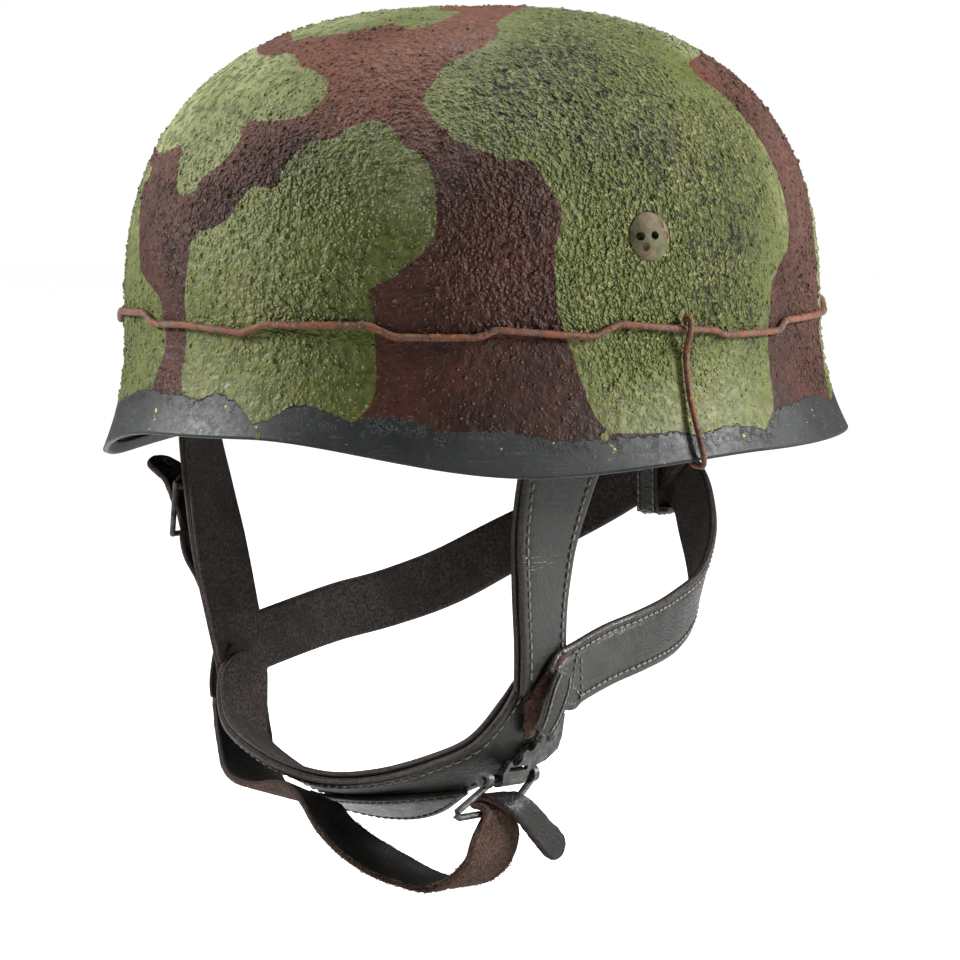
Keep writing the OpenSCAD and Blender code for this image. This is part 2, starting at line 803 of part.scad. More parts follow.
// The loose loop hangs from the side buckle, under the chin, to the chin buckle
loop_z = chin_z - loop_drop;
buckle_x = jaw_x - 10.2;
buckle_y = -54.5;
buckle_z = joint_z - 28.6;
bar_y = buckle_y - frame_skew;
bar_z = buckle_z - frame_h;
fold_y = bar_y + 3.8;
side_x = -(jaw_x + 14.5);
side_y = -52.8;
side_z = -11;
side_turn = 12;
bar_gap = side_wire / 2 + hinge_gap;
chape_t = 1.6;
through_w = side_len - 2 * side_wire - 2;
loop_over = bar_gap + chape_t + lay_gap + strap_t / 2;
side_out = [-cos(side_turn), -sin(side_turn), 0];
function by_side(out, up, face_out, face_up, width) = concat(
    [side_x, side_y, side_z] + side_out * out + [0, 0, up],
    side_out * face_out + [0, 0, face_up],
    [width]
);
function loop_route() = [
    by_side(15.7, 7.4, 0.53, -0.85, 6),
    by_side(14.7, 6.8, 0.53, -0.85, 13),
    by_side(12.5, 5.3, 0.53, -0.85, through_w - 1),
    by_side(9, 3.1, 0.53, -0.85, through_w),
    by_side(6.4, 1, 0.65, -0.75, through_w),
    by_side(loop_over + 0.4, -1.8, 0.85, -0.5, through_w),
    by_side(3, -6, 0.9, -0.35, through_w),
    by_side(0.6, -11, 0.9, -0.3, through_w),
    by_side(-1.2, -17.5, 1, -0.1, through_w),
    by_side(-1.2, -21, 1, 0, through_w + 1),
    [-(jaw_x + 10.2), -45.5, -43, -0.98, -0.12, 0, loop_w - 2],
    [-(jaw_x + 10.4), -38, -58, -0.98, -0.12, 0, loop_w],
    [-(jaw_x + 11.4), -35, joint_z, -0.98, -0.1, -0.05, loop_w],
    [-(jaw_x + 4), -41, joint_z - 20, -0.85, 0, -0.5, loop_w],
    [-60, -54, chin_z + 6, -0.55, -0.15, -0.8, loop_w],
    [-41, -68, chin_z, -0.2, -0.25, -0.95, loop_w],
    [-20, -78, chin_z - 0.5, 0, -0.33, -0.94, loop_w],
    [0, -83.5, chin_z + 0.5, -0.4, -0.33, -0.88, loop_w],
    [10, -84, chin_z - 8, -0.62, -0.2, -0.75, loop_w],
    [20, -81, chin_z - 16, -0.6, -0.12, -0.78, loop_w],
    [30, -74, loop_z + 4.5, -0.4, -0.05, -0.9, loop_w],
    [41, -67, loop_z, 0, 0, -0.99, loop_w],
    [51.5, -64, loop_z + 2, 0.6, 0, -0.8, loop_w],
    [buckle_x - 2, -63, loop_z + 9, 0.95, 0, -0.3, loop_w - 1],
    [buckle_x + 1.6, fold_y - 0.3, bar_z - 8, 0.98, 0, 0.05, loop_w - 2],
    [buckle_x + 2.6, fold_y - 0.3, bar_z - 6.9, 0.98, 0, 0.1, loop_w - 4]
];
module chin_loop() {
    color([0.33, 0.19, 0.13])
        difference() {
            strap(loop_route(), strap_t);
            at_side_buckle()
                translate([-1, -slot_w / 2, -12])
                    cube([9.2, slot_w, 20]);
            at_eyelet()
                cylinder(h = 3 * strap_t, d = eyelet_d + 0.2, center = true, $fn = 32);
        }
}

// The loop's end turns in over the lower bar of the buckle, out again and hangs free
tail_t = 2.2;
tail_w = 10.5;
// Room for the eyes at both ends of the bar
eye_room = 6;
wire_r = buckle_wire / 2;
module loop_tail() {
    over = wire_r + soft_gap + tail_t / 2;
    fold_w = frame_len - 2 * eye_room;
    turn_r = tail_t / 2 + 0.15;
    turn_z = bar_z + over + turn_r;
    color([0.19, 0.19, 0.18])
        strap(
            [
                [buckle_x + over + 0.2, fold_y, bar_z - 5.4, 1, 0, 0, fold_w],
                [buckle_x + over, fold_y, bar_z - 1, 1, 0, 0, fold_w],
                for (a = [30, 60])
                    [
                        buckle_x + over * cos(a), fold_y, bar_z + over * sin(a),
                        cos(a), 0, sin(a), fold_w
                    ],
                [buckle_x, fold_y, bar_z + over, 0, 0, 1, fold_w],
                for (a = [-60:40:60])
                    [
                        buckle_x - 2 - turn_r * cos(a), fold_y, turn_z + turn_r * sin(a),
                        cos(a), 0, -sin(a), fold_w
                    ],
                [buckle_x + 1, fold_y + 1, turn_z + turn_r, 0, 0, -1, fold_w - 2],
                [buckle_x + 4.8, fold_y + 2.5, turn_z + 0.2, -0.6, 0.1, -0.75, tail_w - 1],
                [buckle_x + 6.8, fold_y + 5.5, turn_z - 1.7, -0.95, 0.15, -0.3, tail_w - 1.5],
                [buckle_x + 7.2, fold_y + 10.2, bar_z - 1.7, -0.97, 0.2, -0.1, tail_w - 1],
                [buckle_x + 7.4, fold_y + 15.9, bar_z - 7.2, -0.97, 0.2, -0.1, tail_w - 0.5],
                [buckle_x + 7.6, fold_y + 21.7, bar_z - 12.4, -0.97, 0.2, -0.1, tail_w],
                [buckle_x + 7.6, fold_y + 24.5, bar_z - 15, -0.97, 0.2, -0.1, tail_w - 3],
                [buckle_x + 7.6, fold_y + 25.5, bar_z - 15.8, -0.97, 0.2, -0.1, 3.5]
            ],
            tail_t,
            steps = 1
        );
}

// A stamped plate hangs from the joint and carries the chin buckle on a pin
plate_t = 1.6;
plate_lean = 20;
knuckle_d = buckle_wire + 2 * hinge_gap + 2 * plate_t;
knuckle_len = 12;
module buckle_plate() {
    color([0.34, 0.34, 0.33])
        translate([buckle_x, buckle_y, buckle_z])
            difference() {
                union() {
                    rotate([90, 0, 0])
                        cylinder(h = knuckle_len, d = knuckle_d, center = true, $fn = round_fn);
                    rotate([0, plate_lean, 0])
                        translate([knuckle_d / 2 - plate_t - lay_gap, 0, 0])
                            rotate([90, 0, 90])
                                linear_extrude(plate_t)
                                    difference() {
                                        polygon([
                                            [-5.6, -0.2], [-6.5, 3], [-5, 6.5], [0, 9],
                                            [4.5, 12.5], [6.5, 17], [9.5, 22], [17, 22.5],
                                            [18.6, 14], [18.2, 9.5], [13.5, 5.8], [9.5, 4.6],
                                            [6.5, 2.5], [5.6, -0.2]
                                        ]);
                                        translate([-1.2, 8]) circle(r = 2.6, $fn = 32);
                                        translate([4.2, 12.6]) circle(r = 2.4, $fn = 32);
                                        translate([-4, 3.4]) square([9, 1.6]);
                                    }
                }
                rotate([90, 0, 0])
                    cylinder(
                        h = knuckle_len + 2, d = buckle_wire + 2 * hinge_gap,
                        center = true, $fn = round_fn
                    );
            }
}

// The pin runs through the plate's knuckle and the two eyes of the frame
module buckle_pin() {
    color([0.3, 0.3, 0.3])
        translate([buckle_x, buckle_y, buckle_z])
            rotate([90, 0, 0])
                cylinder(h = frame_len + 2, d = buckle_wire, center = true, $fn = round_fn);
}
module buckle_rivets() {
    color([0.4, 0.4, 0.38])
        translate([buckle_x, buckle_y, buckle_z])
            rotate([0, plate_lean, 0])
                for (y = [8, 12.5])
                    translate([knuckle_d / 2 - lay_gap, y, 14.5])
                        rotate([0, 90, 0])
                            cylinder(h = 1, d1 = 3.6, d2 = 2.4, $fn = 32);
}

// The frame is bent from wire: two eyes on the pin, two arms and a lower bar
module eye(d) {
    rotate([90, 0, 0])
        cylinder(h = d, d = d + 2 * hinge_gap + 3, center = true, $fn = round_fn);
}
module buckle_frame() {
    eye_y = (frame_len - buckle_wire) / 2;
    start_z = wire_r + hinge_gap + 0.9;
    corner = 2;
    low_y = eye_y + 3.1;
    color([0.22, 0.22, 0.22])
        translate([buckle_x, buckle_y, buckle_z])
            difference() {
                union() {
                    wire(
                        [
                            [0, -eye_y, -start_z],
                            [0, -low_y - frame_skew + 1, -frame_h + corner],
                            [0, -low_y - frame_skew + 0.6, -frame_h + 0.6],
                            [0, -low_y - frame_skew + corner, -frame_h],
                            [0, low_y - frame_skew - corner, -frame_h],
                            [0, low_y - frame_skew - 0.6, -frame_h + 0.6],
                            [0, low_y - frame_skew + 0.5, -frame_h + corner],
                            [0, eye_y, -start_z]
                        ],
                        buckle_wire,
                        10
                    );
                    for (side = [-1, 1])
                        translate([0, side * eye_y, 0]) eye(buckle_wire);
                }
                rotate([90, 0, 0])
                    cylinder(
                        h = frame_len + 4, d = buckle_wire + 2 * hinge_gap,
                        center = true, $fn = round_fn
                    );
            }
}

// The side buckle hangs in a folded chape sewn to the right front strap
slot_w = 3.4;
knuckle_w = 15;
module at_side_buckle() {
    translate([side_x, side_y, side_z])
        rotate(180 + side_turn)
            children();
}
module side_chape() {
    last = 0.7;
    tab = [
        for (t = [0:0.175:last])
            let (s = curve_at(front_route(), 8, t))
            [s[0], s[1], s[2], s[3], s[4], s[5], knuckle_w]
    ];
    color([0.15, 0.14, 0.14])
        difference() {
            union() {
                at_side_buckle()
                    rotate([90, 0, 0])
                        cylinder(h = knuckle_w, r = bar_gap + chape_t, center = true, $fn = round_fn);
                mirror([1, 0, 0])
                    strap(tab, chape_t, steps = 1, lift = (strap_t + chape_t) / 2 + lay_gap);
            }
            at_side_buckle() {
                rotate([90, 0, 0])
                    cylinder(h = knuckle_w + 4, r = bar_gap, center = true, $fn = round_fn);
                translate([-4, -slot_w / 2, -6])
                    cube([16, slot_w, 10]);
            }
        }
}

// The side buckle frame hangs from the chape, outside the loop that runs up through it
side_lean = 5.4;
module side_buckle_frame() {
    arm_y = (side_len - side_wire) / 2;
    color([0.24, 0.24, 0.23])
        at_side_buckle()
            rotate([0, -side_lean, 0])
                for (low = [0, -side_h])
                    translate([0, 0, low]) {
                        rotate([90, 0, 0])
                            cylinder(h = 2 * arm_y, d = side_wire, center = true, $fn = 32);
                        for (side = [-1, 1])
                            translate([0, side * arm_y, 0]) {
                                sphere(d = side_wire, $fn = 32);
                                if (low < 0) cylinder(h = side_h, d = side_wire, $fn = 32);
                            }
                    }
}
prong_d = 1.6;
module side_buckle_prong() {
    rise = (side_wire + prong_d) / 2 + 0.15;
    color([0.3, 0.29, 0.27])
        at_side_buckle()
            rotate([0, -side_lean, 0])
                difference() {
                    union() {
                        rotate([90, 0, 0])
                            cylinder(h = slot_w - 0.8, r = bar_gap + 1.2, center = true, $fn = round_fn);
                        translate([rise, 0, -side_h - 1.2])
                            cylinder(h = side_h + 1.2, d = prong_d, $fn = 24);
                    }
                    rotate([90, 0, 0])
                        cylinder(h = slot_w + 2, r = bar_gap, center = true, $fn = round_fn);
                }
}

// A small eyelet lines the last hole of the loop's end
eyelet_d = 3;
module at_eyelet() {
    translate(place(by_side(11.4, 4.6, 0, 0, 0)))
        rotate(180 + side_turn)
            rotate([0, -32, 0])
                children();
}
module side_eyelet() {
    color([0.35, 0.34, 0.32])
        at_eyelet()
            difference() {
                union() {
                    cylinder(h = strap_t + 1, d = eyelet_d, center = true, $fn = 32);
                    for (side = [-1, 1])
                        translate([0, 0, side * (strap_t / 2 + 0.5)])
                            cylinder(h = 0.5, d = eyelet_d + 1.8, center = true, $fn = 32);
                }
                cylinder(h = strap_t + 4, d = 1.8, center = true, $fn = 32);
            }
}

// The wire lies on the shell and dips in long kinks
kinks = [
    [-35, 1.1], [-25, 1.2], [-19, 1.3], [-15, 0.4], [-5, 0.5], [8, 0], [12, 0.7], [30, 0.7],
    [34, -0.3], [47, -0.4], [49.5, 0.2], [65, -0.6], [69, 0.4], [81, -0.3], [87, -0.5],
    [89.5, -1], [104, -1], [105.5, -0.2], [123, -0.1], [136, 0], [140, 0.8], [150, 0.7], [154, -0.2],
    [171, 0], [174, -0.9], [196, -0.8], [200, 0.3], [226, 0.2], [230, 1], [249, 0.8],
    [253, -0.3], [284, -0.3], [288, 0.5], [298, 0.6], [302, 0], [318, 0.2], [325, 1.1]
];
max_step = 6;
wire_seat = wire_d / 2 + 0.25;
function wire_point(phi, kink) =
    let (z = wire_z + kink_h * kink, out = shell_out(phi, z))
    shell_point(phi, z, 0) + out * wire_seat;
wire_route = [
    for (i = [0:len(kinks) - 2])
        let (a = kinks[i], b = kinks[i + 1], parts = ceil((b[0] - a[0]) / max_step))
        for (s = [0:parts - 1])
            wire_point(mix(a[0], b[0], s / parts), mix(a[1], b[1], s / parts))
];
module foliage_wire() {
    color([0.42, 0.2, 0.12])
        wire_ring(wire_route, wire_d);
}

// Hooks of the same wire hold it to the rim
hook_turn = 81;
hook_kink = -0.3;
hook_d = wire_d * 0.85;
module wire_hook() {
    z0 = rim_z(hook_turn);
    at_wire = wire_z + kink_h * hook_kink;
    out = shell_out(hook_turn, at_wire);
    over = wire_d + hook_d / 2 + 0.6;
    lie = hook_d / 2 + 0.4;
    function skin(z, off) = shell_point(hook_turn, z, 0) + shell_out(hook_turn, z) * off;
    edge = shell_point(hook_turn, z0, 0);
    wire(
        [
            skin(at_wire + wire_d / 2 + hook_d, lie),
            skin(at_wire + wire_d / 2 + hook_d, over),
            skin(at_wire, over + 0.3),
            skin(at_wire - wire_d - 1, over - 0.6),
            skin(at_wire - 9, lie + 0.3),
            skin(mix(z0, at_wire, 0.5), lie + 0.3),
            skin(mix(z0, at_wire, 0.25), lie + 0.9),
            skin(z0 + 2, lie + 0.9),
            edge + out * lie - [0, 0, hook_d / 2 + 0.6],
            edge - out * (rim_bead / 2) - [0, 0, hook_d / 2 + 1],
            edge - out * (rim_bead + hook_d / 2 + 0.6) - [0, 0, hook_d / 2 + 0.2],
            edge - out * (rim_bead + hook_d / 2 + 2.7) + [0, 0, 4]
        ],
        hook_d,
        6
    );
}
module wire_hook_left() {
    color([0.3, 0.17, 0.12]) wire_hook();
}
module wire_hook_right() {
    color([0.3, 0.17, 0.12]) mirror([1, 0, 0]) wire_hook();
}

shell();
vented_bolt_front_left();
vented_bolt_front_right();
vented_bolt_rear_left();
vented_bolt_rear_right();
bolt_washers();
bolt_nuts();
liner_band();
leather_liner();
liner_rivets();
pad_front();
pad_rear();
pad_side_left();
pad_side_right();
crown_pad();
front_strap_left();
front_strap_right();
rear_strap_left();
rear_strap_right();
nape_keeper();
chin_strap();
chin_pad();
joint_patch_left();
joint_patch_right();
chin_loop();
loop_tail();
buckle_plate();
buckle_pin();
buckle_rivets();
buckle_frame();
side_chape();
side_buckle_frame();
side_buckle_prong();
side_eyelet();
foliage_wire();
wire_hook_left();
wire_hook_right();
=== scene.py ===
import math
import bpy
import numpy as np
from mathutils import Matrix, Vector, noise


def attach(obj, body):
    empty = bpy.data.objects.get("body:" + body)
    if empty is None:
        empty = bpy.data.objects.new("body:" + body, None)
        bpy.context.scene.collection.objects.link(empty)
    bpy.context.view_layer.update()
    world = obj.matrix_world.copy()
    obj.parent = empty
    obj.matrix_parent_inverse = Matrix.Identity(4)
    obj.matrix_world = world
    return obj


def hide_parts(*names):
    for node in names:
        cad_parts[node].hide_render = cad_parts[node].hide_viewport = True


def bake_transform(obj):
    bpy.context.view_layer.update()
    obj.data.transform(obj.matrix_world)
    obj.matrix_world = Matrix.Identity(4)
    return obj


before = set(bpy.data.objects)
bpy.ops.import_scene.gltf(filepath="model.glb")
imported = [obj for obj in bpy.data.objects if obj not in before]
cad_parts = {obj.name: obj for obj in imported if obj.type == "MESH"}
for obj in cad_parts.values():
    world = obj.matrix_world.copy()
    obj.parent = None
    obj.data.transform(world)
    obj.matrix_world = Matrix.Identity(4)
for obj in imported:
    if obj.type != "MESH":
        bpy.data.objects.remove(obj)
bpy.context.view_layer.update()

MM = 0.001


# The photograph's camera, in mm
VIEW_TURN, VIEW_RISE, VIEW_ROLL = map(math.radians, (42.2, 4.6, 0.6))
VIEW_SHIFT = (0.8, -10.3)
VIEW_AWAY = 1800.0
PX_PER_MM = 2.89
PHOTO = 960
SENSOR = 36.0
forward = np.array([math.sin(VIEW_TURN), -math.cos(VIEW_TURN), 0.0])
back = forward * math.cos(VIEW_RISE) + np.array([0, 0, math.sin(VIEW_RISE)])
right = np.array([math.cos(VIEW_TURN), math.sin(VIEW_TURN), 0.0])
up = np.cross(back, right)
eye = back * VIEW_AWAY + right * VIEW_SHIFT[0] + up * VIEW_SHIFT[1]
cam_right = right * math.cos(VIEW_ROLL) - up * math.sin(VIEW_ROLL)
cam_up = right * math.sin(VIEW_ROLL) + up * math.cos(VIEW_ROLL)

cam_data = bpy.data.cameras.new("camera")
cam_data.sensor_width = SENSOR
cam_data.lens = PX_PER_MM * VIEW_AWAY / PHOTO * SENSOR
cam_data.clip_start, cam_data.clip_end = 0.05, 20.0
camera = bpy.data.objects.new("camera", cam_data)
bpy.context.scene.collection.objects.link(camera)
rows = [(cam_right[i], cam_up[i], back[i], eye[i] * MM) for i in range(3)]
camera.matrix_world = Matrix((*rows, (0, 0, 0, 1)))
bpy.context.scene.camera = camera


def unit(v):
    """A direction, or each of many, at length 1."""
    return v / np.maximum(np.linalg.norm(v, axis=-1, keepdims=True), 1e-9)


def photo_ray(px, py):
    """The direction from the eye through a place in the photograph."""
    x, y = px - PHOTO / 2, PHOTO / 2 - py
    return unit(-back * PX_PER_MM * VIEW_AWAY + cam_right * x + cam_up * y)


# The helmet's sizes as in part.scad, in mm and degrees
BODY_LEN, BODY_WID = 259.0, 222.0
CROWN_Z, WALL_Z = 153.0, 47.0
DOME_POWER = 2.55
SHELL_WALL = 1.4
RIM_BEAD, RIM_BEAD_H = 2.4, 4.0
BROW_LIFT, SIDE_LIFT, NAPE_LIFT = 13.0, 4.5, 4.0
BROW_FLARE, NAPE_FLARE, FLARE_H = 8.0, 10.0, 39.0
FRONT_BOLT, REAR_BOLT, BOLT_Z = 75.5, 151.0, 76.5
STAND_OFF = 19.0
BAND_H, BAND_WALL = 28.0, 1.2
LEATHER_T, HEM_DROP, LINER_TOP, LINER_POWER = 1.8, 9.0, 128.0, 2.2
STRAP_T, STRAP_W, REAR_W = 2.8, 27.0, 21.0
SOFT_GAP = 0.3
PAD_GAP = 0.9
BAND_LOW = BOLT_Z - 3 - BAND_H / 2
BAND_HIGH = BAND_LOW + BAND_H
HEM_Z = BAND_LOW - HEM_DROP
UP = np.array([0, 0, 1.0])


def ease(t):
    t = np.clip(t, 0, 1)
    return t * t * (3 - 2 * t)


def rim_z(phi):
    d = np.abs((np.asarray(phi, float) + 180) % 360 - 180)
    return BROW_LIFT * ease((56 - d) / 46) + SIDE_LIFT * ease((d - 56) / 39) + NAPE_LIFT * ease((d - 95) / 85)


def dome_k(z, low=WALL_Z, top=CROWN_Z, power=DOME_POWER):
    """A dome's width at each height, as a share of its width at the foot."""
    t = np.clip((np.asarray(z, float) - low) / (top - low), 0, 1)
    return (1 - t ** power) ** (1 / power)


def on_ellipse(phi, z, half_wid, half_len):
    """A place at phi degrees from the front on an ellipse round the z axis."""
    rad = np.radians(phi)
    x, y = half_wid * np.sin(rad), -half_len * np.cos(rad)
    return np.stack(np.broadcast_arrays(x, y, np.asarray(z, float)), -1)


def shell_at(phi, z, inset=0.0):
    """A place on the shell's outside, or inset mm inside it."""
    k = dome_k(z, top=CROWN_Z - inset)
    rise = np.clip((z - rim_z(phi)) / FLARE_H, 0, 1)
    flare = BROW_FLARE + (NAPE_FLARE - BROW_FLARE) * (1 - np.cos(np.radians(phi))) / 2
    flare = flare * (1 - rise) ** 2
    return on_ellipse(phi, z, (BODY_WID / 2 - inset) * k + flare, (BODY_LEN / 2 - inset) * k + flare)


def outward(at, phi, z):
    """The outward direction of a surface that at(phi, z) gives."""
    return unit(np.cross(at(phi + 0.5, z) - at(phi - 0.5, z), at(phi, z + 0.5) - at(phi, z - 0.5)))


def shell_out(phi, z):
    return outward(shell_at, phi, z)


def paint_out(phi, z):
    """The outward direction where paint stands, kept off the crown's very top."""
    return shell_out(phi, np.minimum(z, CROWN_Z - 1.2))


band_slope = (dome_k(BOLT_Z + 1) - dome_k(BOLT_Z - 1)) / 2


def band_at(phi, z, out=0.0):
    """A place on the liner band's outside, or out mm outside it."""
    k = dome_k(BOLT_Z) + band_slope * (np.asarray(z, float) - BOLT_Z)
    return on_ellipse(phi, z, BODY_WID / 2 * k - STAND_OFF + out, BODY_LEN / 2 * k - STAND_OFF + out)


def band_out(phi):
    return outward(band_at, phi, BOLT_Z)


# Mesh helpers
def make(name, points, faces, body="root", material=None, smooth=True, marks=None, replaces=()):
    """A piece from points in mm; marks are numbers kept on its points for its material."""
    mesh = bpy.data.meshes.new(name)
    mesh.from_pydata([tuple(p) for p in (np.asarray(points) * MM).tolist()], [], [tuple(f) for f in faces])
    mesh.update()
    for key, values in (marks or {}).items():
        layer = mesh.attributes.new(key, "FLOAT", "POINT")
        layer.data.foreach_set("value", np.asarray(values, np.float32))
    if smooth:
        mesh.polygons.foreach_set("use_smooth", [True] * len(mesh.polygons))
    mesh.materials.append(material)
    obj = bpy.data.objects.new(name, mesh)
    bpy.context.scene.collection.objects.link(obj)
    if body:
        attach(obj, body)
    if replaces:
        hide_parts(*replaces)
    return obj


def grid_faces(rows, cols, closed=False, flip=False, ring=False):
    """Faces between rows of points; closed joins each row's ends, ring the last row to the first."""
    faces = []
    for r in range(rows if ring else rows - 1):
        for c in range(cols if closed else cols - 1):
            d, e = (c + 1) % cols, (r + 1) % rows
            q = (r * cols + c, r * cols + d, e * cols + d, e * cols + c)
            faces.append(q[::-1] if flip else q)
    return faces


def cap_faces(first, cols, middle, flip=False):
    """Triangles from a ring of points, counted from first, to one point in its middle."""
    faces = [(first + c, first + (c + 1) % cols, middle) for c in range(cols)]
    return [(b, a, top) for a, b, top in faces] if flip else faces


def moved(faces, by):
    return [tuple(i + by for i in q) for q in faces]


def join_faces(parts):
    """Several (points, faces) as one."""
    points, faces, base = [], [], 0
    for p, f in parts:
        points.append(p)
        faces += moved(f, base)
        base += len(p)
    return np.concatenate(points), faces


def spline(a, b, c, d, t):
    """A place on the smooth curve from b to c, with a before them and d after."""
    square, cube = 2 * a - 5 * b + 4 * c - d, 3 * b - a - 3 * c + d
    return 0.5 * (2 * b + (c - a) * t + square * t * t + cube * t ** 3)


def smooth_route(points, steps, closed=False):
    """A smooth line through points, steps places for each stretch."""
    p = np.asarray(points, float)
    n, route = len(p), []
    for i in range(n if closed else n - 1):
        if closed:
            near = p[i - 1], p[i], p[(i + 1) % n], p[(i + 2) % n]
        else:
            near = p[max(i - 1, 0)], p[i], p[i + 1], p[min(i + 2, n - 1)]
        route += [spline(*near, s / steps) for s in range(steps)]
    if not closed:
        route.append(p[-1])
    return np.array(route)


def fractal(points, size, octaves=3, seed=0.0):
    """Smooth noise from -1 to 1 at each point, with features of about size mm."""
    shift = Vector((seed * 7.3, seed * 3.1, seed * 5.7))
    return np.array([noise.fractal(Vector(p) / size + shift, 1.0, 2.0, octaves) for p in points])


# Materials
class Nodes:
    """Short names for building one node material."""

    def __init__(self, name):
        self.mat = bpy.data.materials.new(name)
        self.mat.use_nodes = True
        self.tree = self.mat.node_tree
        self.shader = self.tree.nodes["Principled BSDF"]
        self.coord = self.new("TexCoord").outputs["Object"]

    def new(self, kind, operation=None, **values):
        """A new node, its inputs set by name."""
        n = self.tree.nodes.new("ShaderNode" + kind)
        if operation:
            n.operation = operation
        for key, v in values.items():
            self.put(n.inputs[key.replace("_", " ")], v)
        return n

    def put(self, socket, value):
        if hasattr(value, "is_linked"):
            self.tree.links.new(value, socket)
        elif isinstance(value, (tuple, list)) and len(value) == 3 and socket.type == "RGBA":
            socket.default_value = (*value, 1)
        else:
            socket.default_value = value

    def mark(self, name):
        n = self.new("Attribute")
        n.attribute_name = name
        return n.outputs["Fac"]

    def noise(self, size_mm, detail=3, rough=0.6, distort=0.0):
        n = self.new("TexNoise", Vector=self.coord, Scale=1000 / size_mm, Detail=detail, Roughness=rough,
                     Distortion=distort)
        return n.outputs["Fac"]

    def stretched(self, at, per_mm, detail):
        """Noise with so many waves per mm along each direction."""
        scale = self.new("VectorMath", "MULTIPLY")
        self.put(scale.inputs[0], at)
        scale.inputs[1].default_value = (*per_mm, 1)[:3]
        n = self.new("TexNoise", Vector=scale.outputs[0], Scale=1, Detail=detail, Roughness=0.5)
        return n.outputs["Fac"]

    def cells(self, size_mm, at=None):
        """The distance from the nearest cell's middle, and a number of its own for each cell."""
        n = self.new("TexVoronoi", Vector=at or self.coord, Scale=1000 / size_mm)
        parts = self.new("SeparateColor", Color=n.outputs["Color"])
        return n.outputs["Distance"], parts.outputs[0]

    def shifted(self, by_mm, size_mm):
        """The coordinates pushed about, so that cells lose their regular look."""
        wild = self.new("TexNoise", Vector=self.coord, Scale=1000 / size_mm)
        push = self.new("VectorMath", "SCALE", Scale=by_mm * MM)
        total = self.new("VectorMath", "ADD")
        self.put(push.inputs[0], wild.outputs["Color"])
        self.put(total.inputs[0], self.coord)
        self.put(total.inputs[1], push.outputs[0])
        return total.outputs[0]

    def math(self, operation, *values):
        n = self.new("Math", operation)
        for i, v in enumerate(values):
            self.put(n.inputs[i], v)
        return n.outputs[0]

    def times(self, first, *more):
        for v in more:
            first = self.math("MULTIPLY", first, v)
        return first

    def plus(self, first, *more):
        for v in more:
            first = self.math("ADD", first, v)
        return first

    def minus(self, a, b):
        return self.math("SUBTRACT", a, b)

    def most(self, a, b):
        return self.math("MAXIMUM", a, b)

    def wobble(self, size_mm, detail, reach):
        """Noise from about -reach / 2 to reach / 2."""
        return self.times(self.minus(self.noise(size_mm, detail), 0.5), reach)

    def off(self, value, middle=0.5):
        """How far a value is from a middle one, to either side."""
        return self.math("ABSOLUTE", self.minus(value, middle))

    def ramp(self, value, low, high, out_low=0.0, out_high=1.0):
        """A value taken smoothly from low..high to out_low..out_high."""
        n = self.new("MapRange", Value=value)
        n.interpolation_type = "SMOOTHSTEP"
        for key, v in (("From Min", low), ("From Max", high), ("To Min", out_low), ("To Max", out_high)):
            self.put(n.inputs[key], v)
        return n.outputs["Result"]

    def blend(self, share, a, b):
        n = self.new("Mix")
        n.data_type = "RGBA"
        for i, v in ((0, share), (6, a), (7, b)):
            self.put(n.inputs[i], v)
        return n.outputs[2]

    def layered(self, colour, *layers):
        """A colour with others laid over it, each as (share, colour)."""
        for share, over in layers:
            colour = self.blend(share, colour, over)
        return colour

    def bump(self, height, depth_mm, before=None):
        n = self.new("Bump", Strength=1.0, Distance=depth_mm * MM, Height=height)
        if before:
            self.put(n.inputs["Normal"], before)
        return n.outputs["Normal"]

    def set(self, **values):
        for key, v in values.items():
            self.put(self.shader.inputs[key.replace("_", " ")], v)
        return self.mat


def srgb(r, g, b):
    return tuple((c / 255 / 12.92) if c <= 10 else ((c / 255 + 0.055) / 1.055) ** 2.4 for c in (r, g, b))


def shade(colour, times, more=0.0):
    return tuple(min(1, c * times + more) for c in colour)


def sand_relief(n, coarse, dark, painted_sheen, sandy, wild):
    """Grains under the paint, each a low dome of its own height, and the hollows between them."""
    bent = n.shifted(0.7, 2.6)
    far, chance = n.cells(2.2, bent)
    rare = n.ramp(sandy, 0.45, 0.85, 0.55, 0.1)
    domes = n.times(n.ramp(far, 0.42, 0.08), n.ramp(chance, rare, 1.0, 0.0, 0.85))
    far, chance = n.cells(1.35, bent)
    small = n.ramp(chance, 0.25, 0.95, 0.0, n.ramp(wild, 0, 1, 0.4, 0.62))
    small = n.times(n.ramp(far, 0.45, 0.05), small)
    swell = n.times(n.ramp(n.noise(3.2, 2, 0.5), 0.3, 0.7), 0.3)
    swell = n.plus(swell, n.times(n.ramp(n.noise(1.6, 2, 0.5), 0.34, 0.66), 0.6, wild))
    deeper = n.plus(n.times(wild, 0.035), n.times(dark, 0.1), n.times(painted_sheen, 0.03))
    hollow = n.ramp(n.minus(n.noise(2.3, 3, 0.6), deeper), 0.345, 0.28)
    hollow = n.times(hollow, n.ramp(coarse, 0.3, 0.7))
    relief = n.minus(n.plus(n.most(domes, small), swell), n.times(hollow, 0.5))
    return relief, hollow


